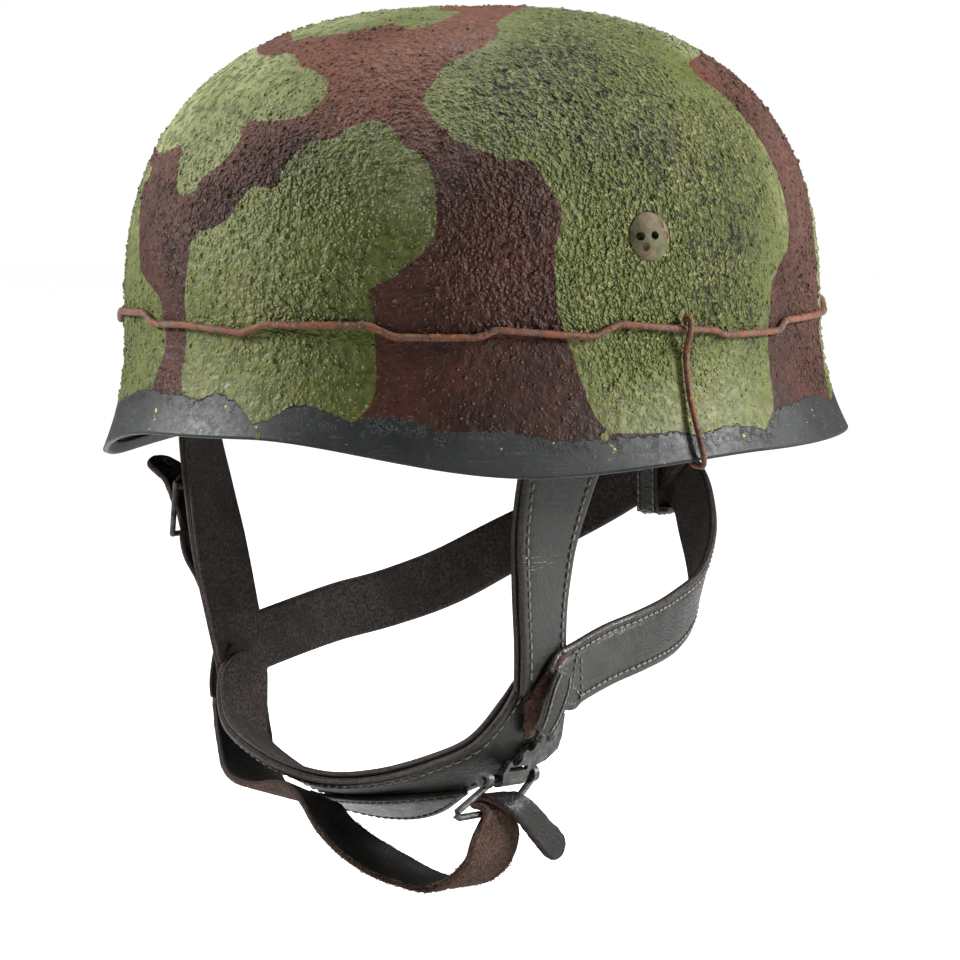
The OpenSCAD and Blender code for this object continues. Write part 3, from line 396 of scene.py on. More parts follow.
def slate_paint(n, cloud, slate):
    """Smooth grey paint with stains, scratches and fine splits, and where it has flaked off."""
    line = n.off(n.stretched(n.coord, (50, 50, 1300), 3))
    line = n.times(n.ramp(line, 0.012, 0.002), n.ramp(n.noise(11, 3), 0.46, 0.6))
    flaked = n.times(n.ramp(n.noise(1.9, 5, 0.75), 0.5, 0.56), n.ramp(slate, 0.4, 8.0, 1, 0))
    flaked = n.times(flaked, n.ramp(n.noise(13, 2), 0.45, 0.58))
    split = n.off(n.noise(9, 4, 0.6, 1.5))
    split = n.times(n.ramp(split, 0.014, 0.004), n.ramp(n.noise(16, 2), 0.5, 0.6))
    colour = n.layered(
        srgb(31, 33, 34),
        (n.ramp(cloud, 0.35, 0.65), srgb(42, 44, 44)),
        (n.ramp(n.noise(2.2, 5, 0.75), 0.6, 0.72, 0, 0.7), srgb(17, 16, 15)),
        (n.ramp(n.noise(3.4, 4, 0.7), 0.64, 0.76, 0, 0.3), srgb(80, 79, 75)),
        (n.ramp(n.noise(5.5, 4, 0.7), 0.64, 0.7, 0, 0.7), srgb(80, 56, 46)),
        (n.times(line, 0.5), srgb(96, 97, 94)),
        (n.times(flaked, 0.85), srgb(18, 18, 18)),
        (n.times(split, 0.8), srgb(16, 16, 16)))
    return colour, flaked


def paint_material():
    """Sandy brown and green paint, with smooth slate paint along the rim."""
    n = Nodes("shell_paint")
    green, slate, coarse, dark, painted_sheen = (n.mark(k) for k in ("green", "slate", "coarse", "dark", "painted_sheen"))
    is_green = n.ramp(n.plus(green, n.wobble(5, 4, 3.2)), -0.25, 0.25)
    is_slate = n.ramp(n.plus(slate, n.wobble(3, 5, 5.0)), -0.25, 0.25)
    wild = n.ramp(coarse, 0.62, 1.0)
    sandy = n.times(coarse, n.minus(1.0, n.times(is_slate, 0.82)))
    relief, hollow = sand_relief(n, coarse, dark, painted_sheen, sandy, wild)
    # the tops of the grains and of the relief are painted lighter: a painted highlight
    top = n.most(n.ramp(relief, 0.42, 0.8), n.times(n.mark("grain"), 0.8))
    # the low places of the relief are painted darker, more so where the painted sheen makes the paint paler:
    # a painted shade
    low = n.times(n.ramp(relief, 0.26, 0.02), n.ramp(painted_sheen, 0, 1, 1, 1.5))
    cloud = n.noise(38, 3)
    browns = n.layered(
        srgb(72, 41, 31),
        (n.ramp(cloud, 0.35, 0.65), srgb(46, 28, 23)),
        (n.ramp(n.mark("high"), 0.3, 1.0, 0, 0.85), srgb(98, 56, 38)),
        # the paler places are a painted sheen
        (n.times(painted_sheen, 0.7), srgb(98, 68, 58)),
        # painted highlight on the relief's tops, then painted shade in its low places
        (n.times(top, 0.22), srgb(116, 78, 64)),
        (n.times(low, 0.4), srgb(30, 21, 18)))
    greens = n.layered(
        srgb(80, 88, 30),
        (n.ramp(cloud, 0.38, 0.64), srgb(94, 98, 46)),
        # the paler places are a painted sheen
        (n.times(painted_sheen, n.ramp(cloud, 0.3, 0.6, 0.35, 0.9)), srgb(140, 145, 102)),
        # painted highlight on the relief's tops, then painted shade in its low places
        (n.times(top, 0.3), srgb(144, 148, 96)),
        (n.times(low, 0.5), srgb(42, 48, 16)))
    slates, flaked = slate_paint(n, cloud, slate)
    soot = n.times(dark, n.ramp(n.noise(3.2, 4, 0.75), 0.38, 0.6), n.ramp(top, 0, 1, 0.9, 0.25))
    chips = n.ramp(n.plus(n.noise(1.7, 2, 0.5), n.times(n.mark("chip"), 0.26)), 0.755, 0.785)
    edge = n.mark("edge")
    bare = n.times(n.ramp(edge, 0.8, 1.0), n.ramp(n.noise(6, 4), 0.35, 0.6, 0.2, 0.8))
    colour = n.layered(
        browns,
        (is_green, greens),
        # dark hollows on the coarse patches: a painted shade in the crevices
        (n.times(hollow, n.ramp(wild, 0, 1, 0.55, 0.9)), srgb(30, 32, 18)),
        (soot, n.blend(is_green, srgb(36, 23, 19), srgb(36, 38, 22))),
        (is_slate, slates),
        (n.times(chips, is_slate, 0.9), srgb(186, 166, 72)),
        (n.ramp(edge, 0.0, 0.4, 0, 0.8), srgb(30, 31, 31)),
        (bare, srgb(120, 122, 118)))
    # the sandy paint is a thicker layer than the slate, which is thinner still where it has flaked
    height = n.times(relief, n.ramp(sandy, 0.14, 1.0, 0.07, 2.5))
    height = n.minus(height, n.times(flaked, is_slate, 0.14))
    height = n.plus(height, n.times(n.minus(1.0, is_slate), 0.4))
    rough = n.minus(n.ramp(n.noise(2.2, 4, 0.7), 0.3, 0.7, 0.48, 0.64), n.times(is_slate, 0.02))
    rough = n.most(rough, n.times(hollow, 0.8))
    shine = n.ramp(n.most(is_green, is_slate), 0, 1, 0.18, 0.3)
    return n.set(Base_Color=colour, Roughness=rough, Normal=n.bump(height, 1.0), Specular_IOR_Level=shine)


def inner_paint_material():
    """Smooth grey paint inside the shell, with some rust coming through."""
    n = Nodes("shell_inner_paint")
    colour = n.layered(
        srgb(70, 75, 76),
        (n.ramp(n.noise(30, 4), 0.35, 0.65), srgb(84, 88, 86)),
        (n.ramp(n.noise(5, 4, 0.7), 0.62, 0.72, 0, 0.7), srgb(116, 88, 64)))
    return n.set(Base_Color=colour, Roughness=0.6, Normal=n.bump(n.noise(1.4, 3), 0.12))


def rust_material():
    n = Nodes("rusty_wire")
    cloud = n.noise(4, 5, 0.7)
    colour = n.layered(
        srgb(58, 40, 33),
        (n.ramp(cloud, 0.35, 0.62), srgb(118, 66, 38)),
        (n.ramp(n.noise(1.2, 4, 0.7), 0.52, 0.72), srgb(158, 100, 60)),
        (n.ramp(n.noise(1.9, 4, 0.7), 0.54, 0.66), srgb(38, 28, 25)),
        (n.ramp(n.noise(9, 3), 0.62, 0.72, 0, 0.6), srgb(84, 84, 56)))
    rough = n.ramp(cloud, 0.3, 0.7, 0.45, 0.8)
    return n.set(Base_Color=colour, Roughness=rough, Normal=n.bump(n.noise(0.9, 5, 0.7), 0.45),
                 Metallic=0.1)


def metal_material(name, base, worn, size, rough=(0.32, 0.55), metallic=0.85, bump=0.05, grime=None,
                   shine=0.5):
    """Metal or its paint, in clouds of two colours of about size mm, with grime in some places."""
    n = Nodes(name)
    cloud = n.noise(size, 5, 0.65)
    colour = n.blend(n.ramp(cloud, 0.38, 0.66), base, worn)
    if grime:
        colour = n.blend(n.ramp(n.noise(size * 0.6, 5, 0.7), 0.5, 0.68, 0, 0.85), colour, grime)
    return n.set(Base_Color=colour, Roughness=n.ramp(cloud, 0.3, 0.7, *rough),
                 Normal=n.bump(n.noise(0.5, 4), bump), Metallic=metallic, Specular_IOR_Level=shine)


def leather_material(name, base, worn, rough, flesh, edge=None, grain=1.0, flesh_side=-1, shine=0.4):
    """Smooth leather outside; flesh is the colour of the suede side, edge of the cut edge."""
    grain_depth, wrinkle_depth, nap_depth = 0.12, 0.22, 1.1
    n = Nodes(name)
    side = n.mark("side")
    place = n.new("CombineXYZ", X=n.mark("run"), Y=n.mark("over"), Z=n.times(side, 3.0)).outputs[0]
    cloud = n.noise(14, 4, 0.6)
    fine = n.noise(1.6, 5, 0.65)
    # creases run across the strap, closer together in some places than in others
    crease = n.off(n.stretched(place, (0.55, 0.09), 3))
    often = n.ramp(n.stretched(place, (0.05, 0.03), 2), 0.47, 0.68)
    # the crease lines are painted darker: partly cracks in the leather, partly a painted shade in the creases
    crack_and_crease_shade = n.times(n.ramp(crease, 0.045, 0.0), often)
    colour = n.layered(
        base,
        (n.ramp(cloud, 0.35, 0.68), worn),
        (n.ramp(fine, 0.55, 0.75, 0, 0.4), shade(base, 2.2, 0.012)),
        (n.times(crack_and_crease_shade, 0.7), shade(base, 0.35)))
    normal = n.bump(n.noise(6, 4, 0.6, 1.2), wrinkle_depth)
    normal = n.bump(n.times(n.ramp(crease, 0.0, 0.16), often), wrinkle_depth * 0.55, normal)
    normal = n.bump(n.cells(grain)[0], grain_depth, normal)
    roughness = n.plus(n.ramp(cloud, 0.3, 0.7, *rough), n.ramp(fine, 0.3, 0.7, 0.08, -0.08))
    if edge:
        # the cut edge shows the two layers and the dark line between them
        at_edge = n.ramp(n.mark("rim"), 0.5, 0.9)
        between = n.ramp(n.off(n.math("ABSOLUTE", side), 0.3), 0.16, 0.04)
        layers = n.layered(
            edge,
            (n.ramp(n.noise(1.1, 3, 0.6), 0.4, 0.6), base),
            (n.times(between, 0.85), shade(base, 0.3)))
        # darker along the stitch lines: a painted shade in their grooves
        stitch_groove_shade = n.times(n.ramp(n.mark("sew"), 0.2, 1.0), 0.7)
        colour = n.layered(colour, (at_edge, layers), (stitch_groove_shade, shade(base, 0.45)))
        roughness = n.plus(roughness, n.times(at_edge, 0.25))
    nap = n.noise(1.0, 6, 0.8)
    nappy = n.layered(
        shade(flesh, 0.45),
        (n.ramp(nap, 0.4, 0.62), shade(flesh, 2.2, 0.02)),
        (n.ramp(n.noise(16, 3), 0.4, 0.65, 0, 0.6), shade(flesh, 0.6)))
    is_flesh = n.ramp(n.times(side, flesh_side), -0.1, 0.1)
    colour = n.blend(is_flesh, colour, nappy)
    roughness = n.most(roughness, n.times(is_flesh, 0.95))
    normal = n.bump(n.times(nap, is_flesh), nap_depth, normal)
    return n.set(Base_Color=colour, Roughness=roughness, Normal=normal, Specular_IOR_Level=shine)


def sponge_material():
    n = Nodes("sponge")
    pores = n.ramp(n.cells(1.6)[0], 0.05, 0.4)
    skin = n.blend(n.ramp(n.noise(22, 3), 0.4, 0.65), srgb(74, 72, 68), srgb(88, 85, 78))
    normal = n.bump(pores, 0.4, n.bump(n.noise(5, 4), 0.6))
    # the pores are painted dark: a painted shade in the open cells
    return n.set(Base_Color=n.blend(pores, srgb(34, 33, 31), skin), Roughness=0.92, Normal=normal)


def thread_material():
    n = Nodes("thread")
    colour = srgb(122, 118, 106)
    tone = n.blend(n.ramp(n.noise(2.5, 3), 0.35, 0.7), colour, shade(colour, 0.5))
    return n.set(Base_Color=tone, Roughness=0.75, Normal=n.bump(n.noise(0.4, 2), 0.08))


def fibre_material():
    n = Nodes("fibre")
    tone = n.blend(n.ramp(n.noise(3, 3), 0.35, 0.65), srgb(58, 42, 35), srgb(110, 78, 62))
    return n.set(Base_Color=tone, Roughness=0.9)


PAINT = paint_material()
INNER_PAINT = inner_paint_material()
RUST = rust_material()
BOLT = metal_material("bolt_paint", srgb(66, 74, 40), srgb(104, 92, 72), 3.6, (0.5, 0.7), metallic=0.0,
                      bump=0.25, grime=srgb(92, 50, 46), shine=0.3)
PLUG = metal_material("paint_in_holes", srgb(98, 60, 52), srgb(92, 84, 62), 1.6, (0.6, 0.8), metallic=0.0,
                      bump=0.3, grime=srgb(52, 34, 30), shine=0.3)
BARE = metal_material("bare_steel", srgb(140, 138, 132), srgb(112, 108, 100), 6)
BAND = metal_material("band_metal", srgb(168, 170, 170), srgb(140, 142, 142), 12, (0.3, 0.5), metallic=0.9,
                      bump=0.03)
RIVET = metal_material("rivet_metal", srgb(128, 116, 82), srgb(96, 88, 66), 4)
BUCKLE = metal_material("buckle_metal", srgb(50, 51, 50), srgb(90, 89, 86), 3.2, (0.3, 0.52), metallic=0.6,
                        bump=0.08, grime=srgb(26, 24, 22))
LINER = leather_material("liner_leather", srgb(116, 80, 56), srgb(96, 66, 46), (0.45, 0.65),
                         srgb(120, 92, 70), grain=1.2)
LEATHER = leather_material("strap_leather", srgb(25, 25, 23), srgb(40, 39, 36), (0.36, 0.54),
                           srgb(46, 38, 34), edge=srgb(74, 52, 43))
SUEDE = leather_material("suede", srgb(16, 16, 15), srgb(28, 26, 24), (0.42, 0.62), srgb(62, 41, 31),
                         edge=srgb(58, 40, 33), flesh_side=1, shine=0.26)
RAW = leather_material("raw_leather", srgb(62, 44, 37), srgb(88, 62, 50), (0.7, 0.9), srgb(70, 48, 39),
                       edge=srgb(70, 50, 42), flesh_side=1, shine=0.2)
SPONGE = sponge_material()
THREAD = thread_material()
FIBRE = fibre_material()


# Camouflage: outlines read from the photograph
meridian_z = WALL_Z + (CROWN_Z - WALL_Z) * np.linspace(0, 1, 400) ** 0.5
meridian = np.stack([120.0 * dome_k(meridian_z), meridian_z], -1)
from_wall = np.concatenate([[0], np.cumsum(np.linalg.norm(np.diff(meridian, axis=0), axis=1))])
WALL_ARC = from_wall[-1]


def disc(phi, z):
    """A place on the shell as seen flattened from over the crown, in mm."""
    arc = np.where(z < WALL_Z, WALL_ARC + WALL_Z - z, WALL_ARC - np.interp(z, meridian_z, from_wall))
    return on_ellipse(phi, 0.0, arc, arc)[..., :2]


def on_shell(px, py):
    """Where the photograph's place lies on the shell: (phi, z)."""
    nearest, farthest = 1560.0, 1960.0
    p = eye + photo_ray(px, py) * np.arange(nearest, farthest, 1.0)[:, None]
    phi = np.degrees(np.arctan2(p[:, 0] / BODY_WID, -p[:, 1] / BODY_LEN))
    for _ in range(3):
        ring = shell_at(phi, p[:, 2])
        half_wid = np.maximum(ring[:, 0] / np.sin(np.radians(phi) + 1e-9), 1)
        half_len = np.maximum(-ring[:, 1] / np.cos(np.radians(phi) + 1e-9), 1)
        phi = np.degrees(np.arctan2(p[:, 0] / half_wid, -p[:, 1] / half_len))
    outside = np.hypot(p[:, 0] / half_wid, p[:, 1] / half_len) - 1
    outside = np.where(p[:, 2] > CROWN_Z, 9, outside)
    hits = np.nonzero(outside < 0)[0]
    i = hits[0] if len(hits) else int(np.argmin(outside))
    return phi[i], p[i, 2]


def outline(points):
    """Photograph places (x, y), or ("on", phi, z) for the side it doesn't show, as a smooth closed line."""
    at = [disc(p[1], p[2]) if p[0] == "on" else disc(*on_shell(*p)) for p in points]
    return smooth_route(at, 4, closed=True)


def blob(phi, z, reach, seed):
    """An invented patch round a place on the hidden side."""
    mid = disc(phi, z)
    rng = np.random.default_rng(seed)
    corners = 12
    line = []
    for i in range(corners):
        a = i * math.tau / corners
        r = reach * (0.62 + 0.6 * rng.random())
        line.append(mid + r * np.array([math.cos(a) * 1.25, math.sin(a)]))
    return smooth_route(line, 4, closed=True)


TOP_LEFT = [(259, 54), (294, 53), (301, 65), (318, 73), (328, 82), (325, 99), (304, 116), (274, 121),
            (255, 121), (245, 126), (238, 145), (221, 165), (202, 179), (197, 189), (185, 195), (178, 191),
            (178, 170), (184, 150), (173, 148), (160, 152), ("on", -62, 96), ("on", -82, 104),
            ("on", -88, 120), ("on", -70, 136)]
LEFT_EDGE = [(152, 165), (143, 190), (140, 218), (140, 240), (141, 269), (151, 286), (161, 301), (164, 315),
             (167, 344), (161, 366), (153, 385), (148, 407), (136, 424), ("on", -44, -6), ("on", -70, -6),
             ("on", -78, 20), ("on", -70, 52), ("on", -76, 76), ("on", -64, 86)]
CENTRE = [(311, 141), (330, 139), (354, 126), (369, 121), (391, 126), (403, 143), (422, 155), (432, 170),
          (436, 201), (436, 233), (432, 240), (413, 264), (386, 281), (369, 291), (373, 308), (376, 337),
          (376, 385), (369, 407), (354, 422), (342, 422), (328, 412), (313, 407), (294, 405), (270, 422),
          (255, 425), (243, 417), (238, 402), (216, 393), (197, 401), (185, 397), (182, 376), (187, 337),
          (185, 301), (190, 254), (193, 240), (197, 233), (226, 223), (236, 206), (253, 187), (270, 188),
          (277, 187), (284, 170), (291, 157), (306, 145)]
TOP_STRIP = [(291, 37), (306, 38), (342, 34), (391, 25), (413, 29), (439, 22), (461, 12), (440, 9),
             ("on", -150, 151), ("on", -118, 140), ("on", -98, 132), ("on", -84, 138)]
RIGHT_BIG = [(487, 44), (480, 48), (447, 65), (434, 82), (424, 99), (427, 111), (444, 131), (464, 143),
             (504, 160), (528, 160), (538, 170), (550, 189), (562, 208), (559, 237), (556, 240), (555, 288),
             (560, 318), (570, 347), (582, 385), (594, 414), (606, 429), (621, 434), (650, 434), (674, 431),
             (698, 435), (722, 427), (747, 425), (764, 429), (773, 410), (771, 385), (768, 344), (771, 288),
             (776, 269), (785, 252), (788, 240), (787, 218), (778, 179), (764, 148), (742, 116), (717, 90),
             (698, 78), (688, 63), (698, 56), ("on", 128, 137), ("on", 160, 140), ("on", -172, 148),
             (516, 11), (496, 22), (499, 31)]
RIGHT_EDGE = [(815, 250), (818, 300), (820, 340), (824, 370), (831, 400), ("on", 134, 20), ("on", 150, 10),
              ("on", 156, 40), ("on", 146, 66), ("on", 150, 90), ("on", 138, 96), ("on", 131, 84)]
RIGHT_PATCH = outline(RIGHT_BIG)
GREEN = [RIGHT_PATCH] + [outline(p) for p in (TOP_LEFT, LEFT_EDGE, CENTRE, TOP_STRIP, RIGHT_EDGE)] + [
    blob(-150, 86, 34, 3), blob(-108, 44, 30, 5), blob(172, 38, 26, 11), blob(-168, 128, 30, 8),
    blob(-132, 14, 20, 21), blob(-112, 92, 16, 14)]
# paint chips, drips and dark stains: a place of the photograph and a reach in mm
CHIPS = [(155, 413, 2.6), (152, 421, 1.4), (236, 411, 2.2), (226, 407, 1.6), (257, 426, 2.0),
         (336, 424, 1.5), (498, 444, 2.2), (612, 446, 2.2), (742, 434, 2.4), (812, 410, 2.0),
         (690, 447, 1.6), (420, 436, 1.4)]
DRIPS = [(259, 437, 1.5), (604, 438, 1.4)]
STAINS = [(728, 215, 22), (712, 285, 16), (545, 80, 26), (486, 66, 14), (650, 140, 15), (752, 320, 12),
          (600, 120, 15), (684, 330, 10), (158, 200, 14), (300, 150, 9), (172, 240, 10)]
# the slate paint's upper edge, as the photograph shows it
SLATE_SEEN = [(122, 400), (152, 389), (182, 395), (200, 402), (216, 393), (237, 402), (255, 425),
              (270, 421), (294, 405), (313, 407), (330, 414), (354, 423), (376, 417), (415, 419),
              (439, 431), (480, 431), (516, 431), (553, 441), (601, 439), (640, 436), (674, 432),
              (698, 436), (722, 428), (747, 425), (764, 430), (773, 410), (790, 404), (810, 395),
              (831, 400)]
# and behind, as (degrees, mm above the rim)
SLATE_HIDDEN = [(146, 13), (164, 15), (182, 12), (200, 14), (218, 12), (236, 15), (254, 13), (272, 12),
                (290, 14), (306, 15)]
SLATE_LINE = sorted((phi, z - rim_z(phi)) for phi, z in (on_shell(*p) for p in SLATE_SEEN)) + SLATE_HIDDEN


def slate_line(phi):
    """How far the slate paint reaches up from the rim, in mm."""
    xs, ys = np.array(SLATE_LINE, float).T
    return np.interp((phi - xs[0]) % 360 + xs[0], np.append(xs, xs[0] + 360), np.append(ys, ys[0]))


def inside_by(line, at):
    """Signed distance in mm from each place to a closed line, more than 0 inside."""
    best = np.full(len(at), 1e9)
    odd = np.zeros(len(at), bool)
    x, y = at[:, 0], at[:, 1]
    for p, q in zip(line, np.roll(line, -1, axis=0)):
        e = q - p
        t = np.clip(((at - p) @ e) / max(e @ e, 1e-9), 0, 1)
        best = np.minimum(best, np.linalg.norm(at - (p + t[:, None] * e), axis=1))
        odd ^= ((p[1] > y) != (q[1] > y)) & (x < e[0] * (y - p[1]) / (e[1] + 1e-12) + p[0])
    return np.where(odd, best, -best)


# The shell
def shell_grid(cols, wall_rows, dome_rows):
    """Angles and heights of a grid on the shell, even along its height."""
    phi = np.arange(cols) * 360.0 / cols
    arcs = np.linspace(0, WALL_ARC, dome_rows + 1)[:-1]
    rows = [rim_z(phi) + (WALL_Z - rim_z(phi)) * r / wall_rows for r in range(wall_rows)]
    rows += [np.full(cols, z) for z in np.interp(arcs, from_wall, meridian_z)]
    z = np.array(rows)
    return np.broadcast_to(phi, z.shape), z


def bolt_places():
    """Each bolt's place on the shell and the direction it points in."""
    places = []
    for phi in (FRONT_BOLT, REAR_BOLT):
        p, n = shell_at(phi, BOLT_Z), shell_out(phi, BOLT_Z)
        places += [(p * (side, 1, 1), n * (side, 1, 1)) for side in (1, -1)]
    return places


def clear_of_bolts(points, faces, reach):
    """The faces that start farther than reach mm from every bolt."""
    starts = points[[f[0] for f in faces]]
    keep = np.ones(len(faces), bool)
    for place, _ in bolt_places():
        keep &= np.linalg.norm(starts - place, axis=1) > reach
    return [f for f, k in zip(faces, keep) if k]


def spot(places, px, py, reach):
    """1 at a place of the photograph, falling to 0 within some reach on the shell."""
    return np.exp(-(np.linalg.norm(places - disc(*on_shell(px, py)), axis=1) / reach) ** 2)


def paint_marks(phis, zs):
    """What the paint is like at each place of the shell, as numbers for its material."""
    flat, places = shell_at(phis, zs), disc(phis, zs)
    green = np.max([inside_by(line, places) for line in GREEN], axis=0)
    slate = slate_line(phis) - (zs - rim_z(phis))
    for drip in DRIPS:
        slate = slate - 14 * spot(places, *drip)
        green = green + 12 * spot(places, *drip)
    chip = np.max([spot(places, *c) for c in CHIPS], axis=0)
    stains = np.max([spot(places, *s) for s in STAINS], axis=0)
    # coarser sand on the big right patch and on both sides, finer low down
    broad = fractal(flat, 46, 2, 1)
    big = np.clip(inside_by(RIGHT_PATCH, places) / 24, 0, 1)
    sides = ease((np.abs((phis - 42 + 180) % 360 - 180) - 62) / 24)
    low = ease((60 - zs) / 50) * (1 - 0.6 * sides)
    coarse = np.clip(0.7 + 0.3 * broad + 0.3 * big + 0.22 * sides - 0.24 * low, 0.42, 1.0)
    # a painted sheen, paler high on the front and left and on the far right; darker round the front bolt
    around = (phis + 180) % 360 - 180
    painted_sheen = ease((22 - around) / 50) * ease((zs - 62) / 44) * ease((around + 150) / 40)
    painted_sheen = np.maximum(painted_sheen, 0.95 * ease((around - 104) / 16) * ease((zs - 10) / 40))
    near_bolt = np.exp(-(((phis - 88) / 20) ** 2 + ((zs - 98) / 34) ** 2))
    patchy = np.clip(0.5 + 1.4 * fractal(flat, 9, 3, 12), 0, 1)
    smoky = 0.5 * np.clip(broad - 0.1, 0, 1)
    dark = stains * (0.45 + 0.75 * patchy) + 0.3 * near_bolt * patchy + smoky + 0.08
    return dict(green=green, slate=slate, coarse=coarse, dark=np.clip(dark, 0, 1), painted_sheen=painted_sheen, chip=chip,
                high=np.clip((zs - 70) / 70, 0, 1))


def paint_heights(phis, zs, marks):
    """How far the thick paint stands out from the smooth shell, in mm."""
    flat, coarse = shell_at(phis, zs), marks["coarse"]
    waves = 0.14 * fractal(flat, 4.5, 1, 2) + 0.1 * fractal(flat, 11, 2, 4)
    lumps = 0.62 * ease((coarse - 0.62) / 0.3) * np.clip(fractal(flat, 3.1, 1, 7), -0.25, 1)
    heights = waves * (0.5 + 2.2 * np.clip(coarse - 0.6, 0, 1)) + lumps
    heights = heights * ease((2.0 - marks["slate"]) / 5 + 0.35)
    for place, _ in bolt_places():
        heights *= np.clip((np.linalg.norm(flat - place, axis=1) - 8.5) / 3, 0, 1)
    return heights * ease((zs - rim_z(phis)) / 3)


def rolled_edge(phi):
    """Rings of points round the rolled rim and up to its folded strip inside, each with its bare edge."""
    base, level = shell_at(phi, rim_z(phi)), on_ellipse(phi, 0.0, 1.0, 1.0)
    half = RIM_BEAD / 2
    rings, bare = [], []
    for a in np.linspace(0, 180, 7)[1:]:
        t = math.radians(a)
        rings.append(base - level * half * (1 - math.cos(t)) + UP * (0.6 - half * 0.8 * math.sin(t)))
        bare.append(math.sin(t) if a < 120 else 0.2)
    strip = (RIM_BEAD_H - 0.6, RIM_BEAD), (RIM_BEAD_H, RIM_BEAD - 0.2), (RIM_BEAD_H + 0.5, SHELL_WALL)
    for h, inset in strip:
        rings.append(shell_at(phi, rim_z(phi) + h, inset))
        bare.append(0.0)
    return rings, bare


def make_shell_outside():
    """The painted outside, from the crown down and round the rim."""
    cols, wall_rows, dome_rows = 620, 40, 104
    rows, bolt_hole = wall_rows + dome_rows, 4.6
    phi, z = shell_grid(cols, wall_rows, dome_rows)
    phis, zs = phi.reshape(-1), z.reshape(-1)
    marks = paint_marks(phis, zs)
    points = shell_at(phis, zs) + paint_out(phis, zs) * paint_heights(phis, zs, marks)[:, None]
    crown, top_row = len(points), (rows - 1) * cols
    faces = grid_faces(rows, cols, True) + cap_faces(top_row, cols, crown)
    rings, bare = rolled_edge(phi[0])
    points = np.vstack([points, CROWN_Z * UP, *rings])
    for r in range(len(rings)):
        upper = crown + 1 + (r - 1) * cols if r else 0
        lower = crown + 1 + r * cols
        for c in range(cols):
            d = (c + 1) % cols
            faces.append((upper + c, lower + c, lower + d, upper + d))
    on_rings = dict(green=-9.0, slate=9.0, coarse=0.1)
    for key, v in marks.items():
        marks[key] = np.concatenate([v, [v[top_row]], np.full(len(rings) * cols, on_rings.get(key, 0.0))])
    marks["edge"] = np.append(np.zeros(crown + 1), np.repeat(bare, cols))
    faces = clear_of_bolts(points, faces, bolt_hole)
    make("shell_outside", points, faces, material=PAINT, marks=marks,
         replaces=["shell"])


def make_shell_inside():
    """The smooth grey inside, from the folded strip up."""
    cols, wall_rows, dome_rows = 240, 12, 34
    rows, bolt_hole = wall_rows + dome_rows, 6.0
    phi, z = shell_grid(cols, wall_rows, dome_rows)
    z = np.clip(z, rim_z(phi) + RIM_BEAD_H + 0.4, CROWN_Z - SHELL_WALL - 0.02)
    points = shell_at(phi, z, SHELL_WALL).reshape(-1, 3)
    top_row = (rows - 1) * cols
    faces = grid_faces(rows, cols, True, flip=True) + cap_faces(top_row, cols, len(points), flip=True)
    points = np.vstack([points, (CROWN_Z - SHELL_WALL) * UP])
    faces = clear_of_bolts(points, faces, bolt_hole)
    make("shell_inside", points, faces, material=INNER_PAINT)


def make_grains():
    """Coarse grains standing out of the sand paint, each a small faceted cone."""
    count, tries, bolt_clear, sides = 7600, 60000, 9.6, 6
    rng = np.random.default_rng(8)
    phis, along = rng.uniform(0, 360, tries), rng.uniform(0, WALL_ARC + WALL_Z, tries)
    on_dome = np.interp(along, WALL_ARC - from_wall[::-1], meridian_z[::-1])
    zs = np.where(along < WALL_ARC, on_dome, WALL_Z - (along - WALL_ARC))
    keep = (rng.random(tries) < dome_k(zs)) & (zs > rim_z(phis) + 5)
    phis, zs = phis[keep], zs[keep]
    marks = paint_marks(phis, zs)
    chance = (0.12 + 0.88 * ease((marks["coarse"] - 0.5) / 0.42)) * (marks["slate"] < -1.5)
    base = shell_at(phis, zs)
    for place, _ in bolt_places():
        chance *= np.linalg.norm(base - place, axis=1) > bolt_clear
    pick = np.nonzero(rng.random(len(chance)) < chance)[0][:count]
    phis, zs, marks = phis[pick], zs[pick], {k: v[pick] for k, v in marks.items()}
    out = paint_out(phis, zs)
    base = base[pick] + out * paint_heights(phis, zs, marks)[:, None]
    level = unit(np.cross((0, 0, 1), out))
    rise = np.cross(out, level)
    n = len(pick)
    wide = 0.42 + 0.55 * rng.random(n) ** 2
    tall = wide * rng.uniform(0.5, 0.95, n)
    first_turn = rng.uniform(0, math.tau, n)
    rings = []
    for reach, height in ((1.1, -0.12), (0.66, 0.72)):
        for k in range(sides):
            a = (first_turn + math.tau * k / sides)[:, None]
            r = wide * reach * rng.uniform(0.75, 1.25, n)
            h = np.full(n, height) if height < 0 else tall * height * rng.uniform(0.8, 1.15, n)
            rings.append(base + (level * np.cos(a) + rise * np.sin(a)) * r[:, None] + out * h[:, None])
    rings.append(base + out * tall[:, None])
    one = grid_faces(2, sides, True) + cap_faces(sides, sides, 2 * sides)
    each = 2 * sides + 1
    faces = [f for i in range(n) for f in moved(one, each * i)]
    marks = {k: np.repeat(v, each) for k, v in marks.items()}
    # how high up its grain each point lies, which the paint uses for a painted highlight on the grain tops
    marks["grain"] = np.tile([0.0] * sides + [0.6] * sides + [1.0], n)
    points = np.stack(rings, 1).reshape(-1, 3)
    make("paint_grains", points, faces, material=PAINT, marks=marks)


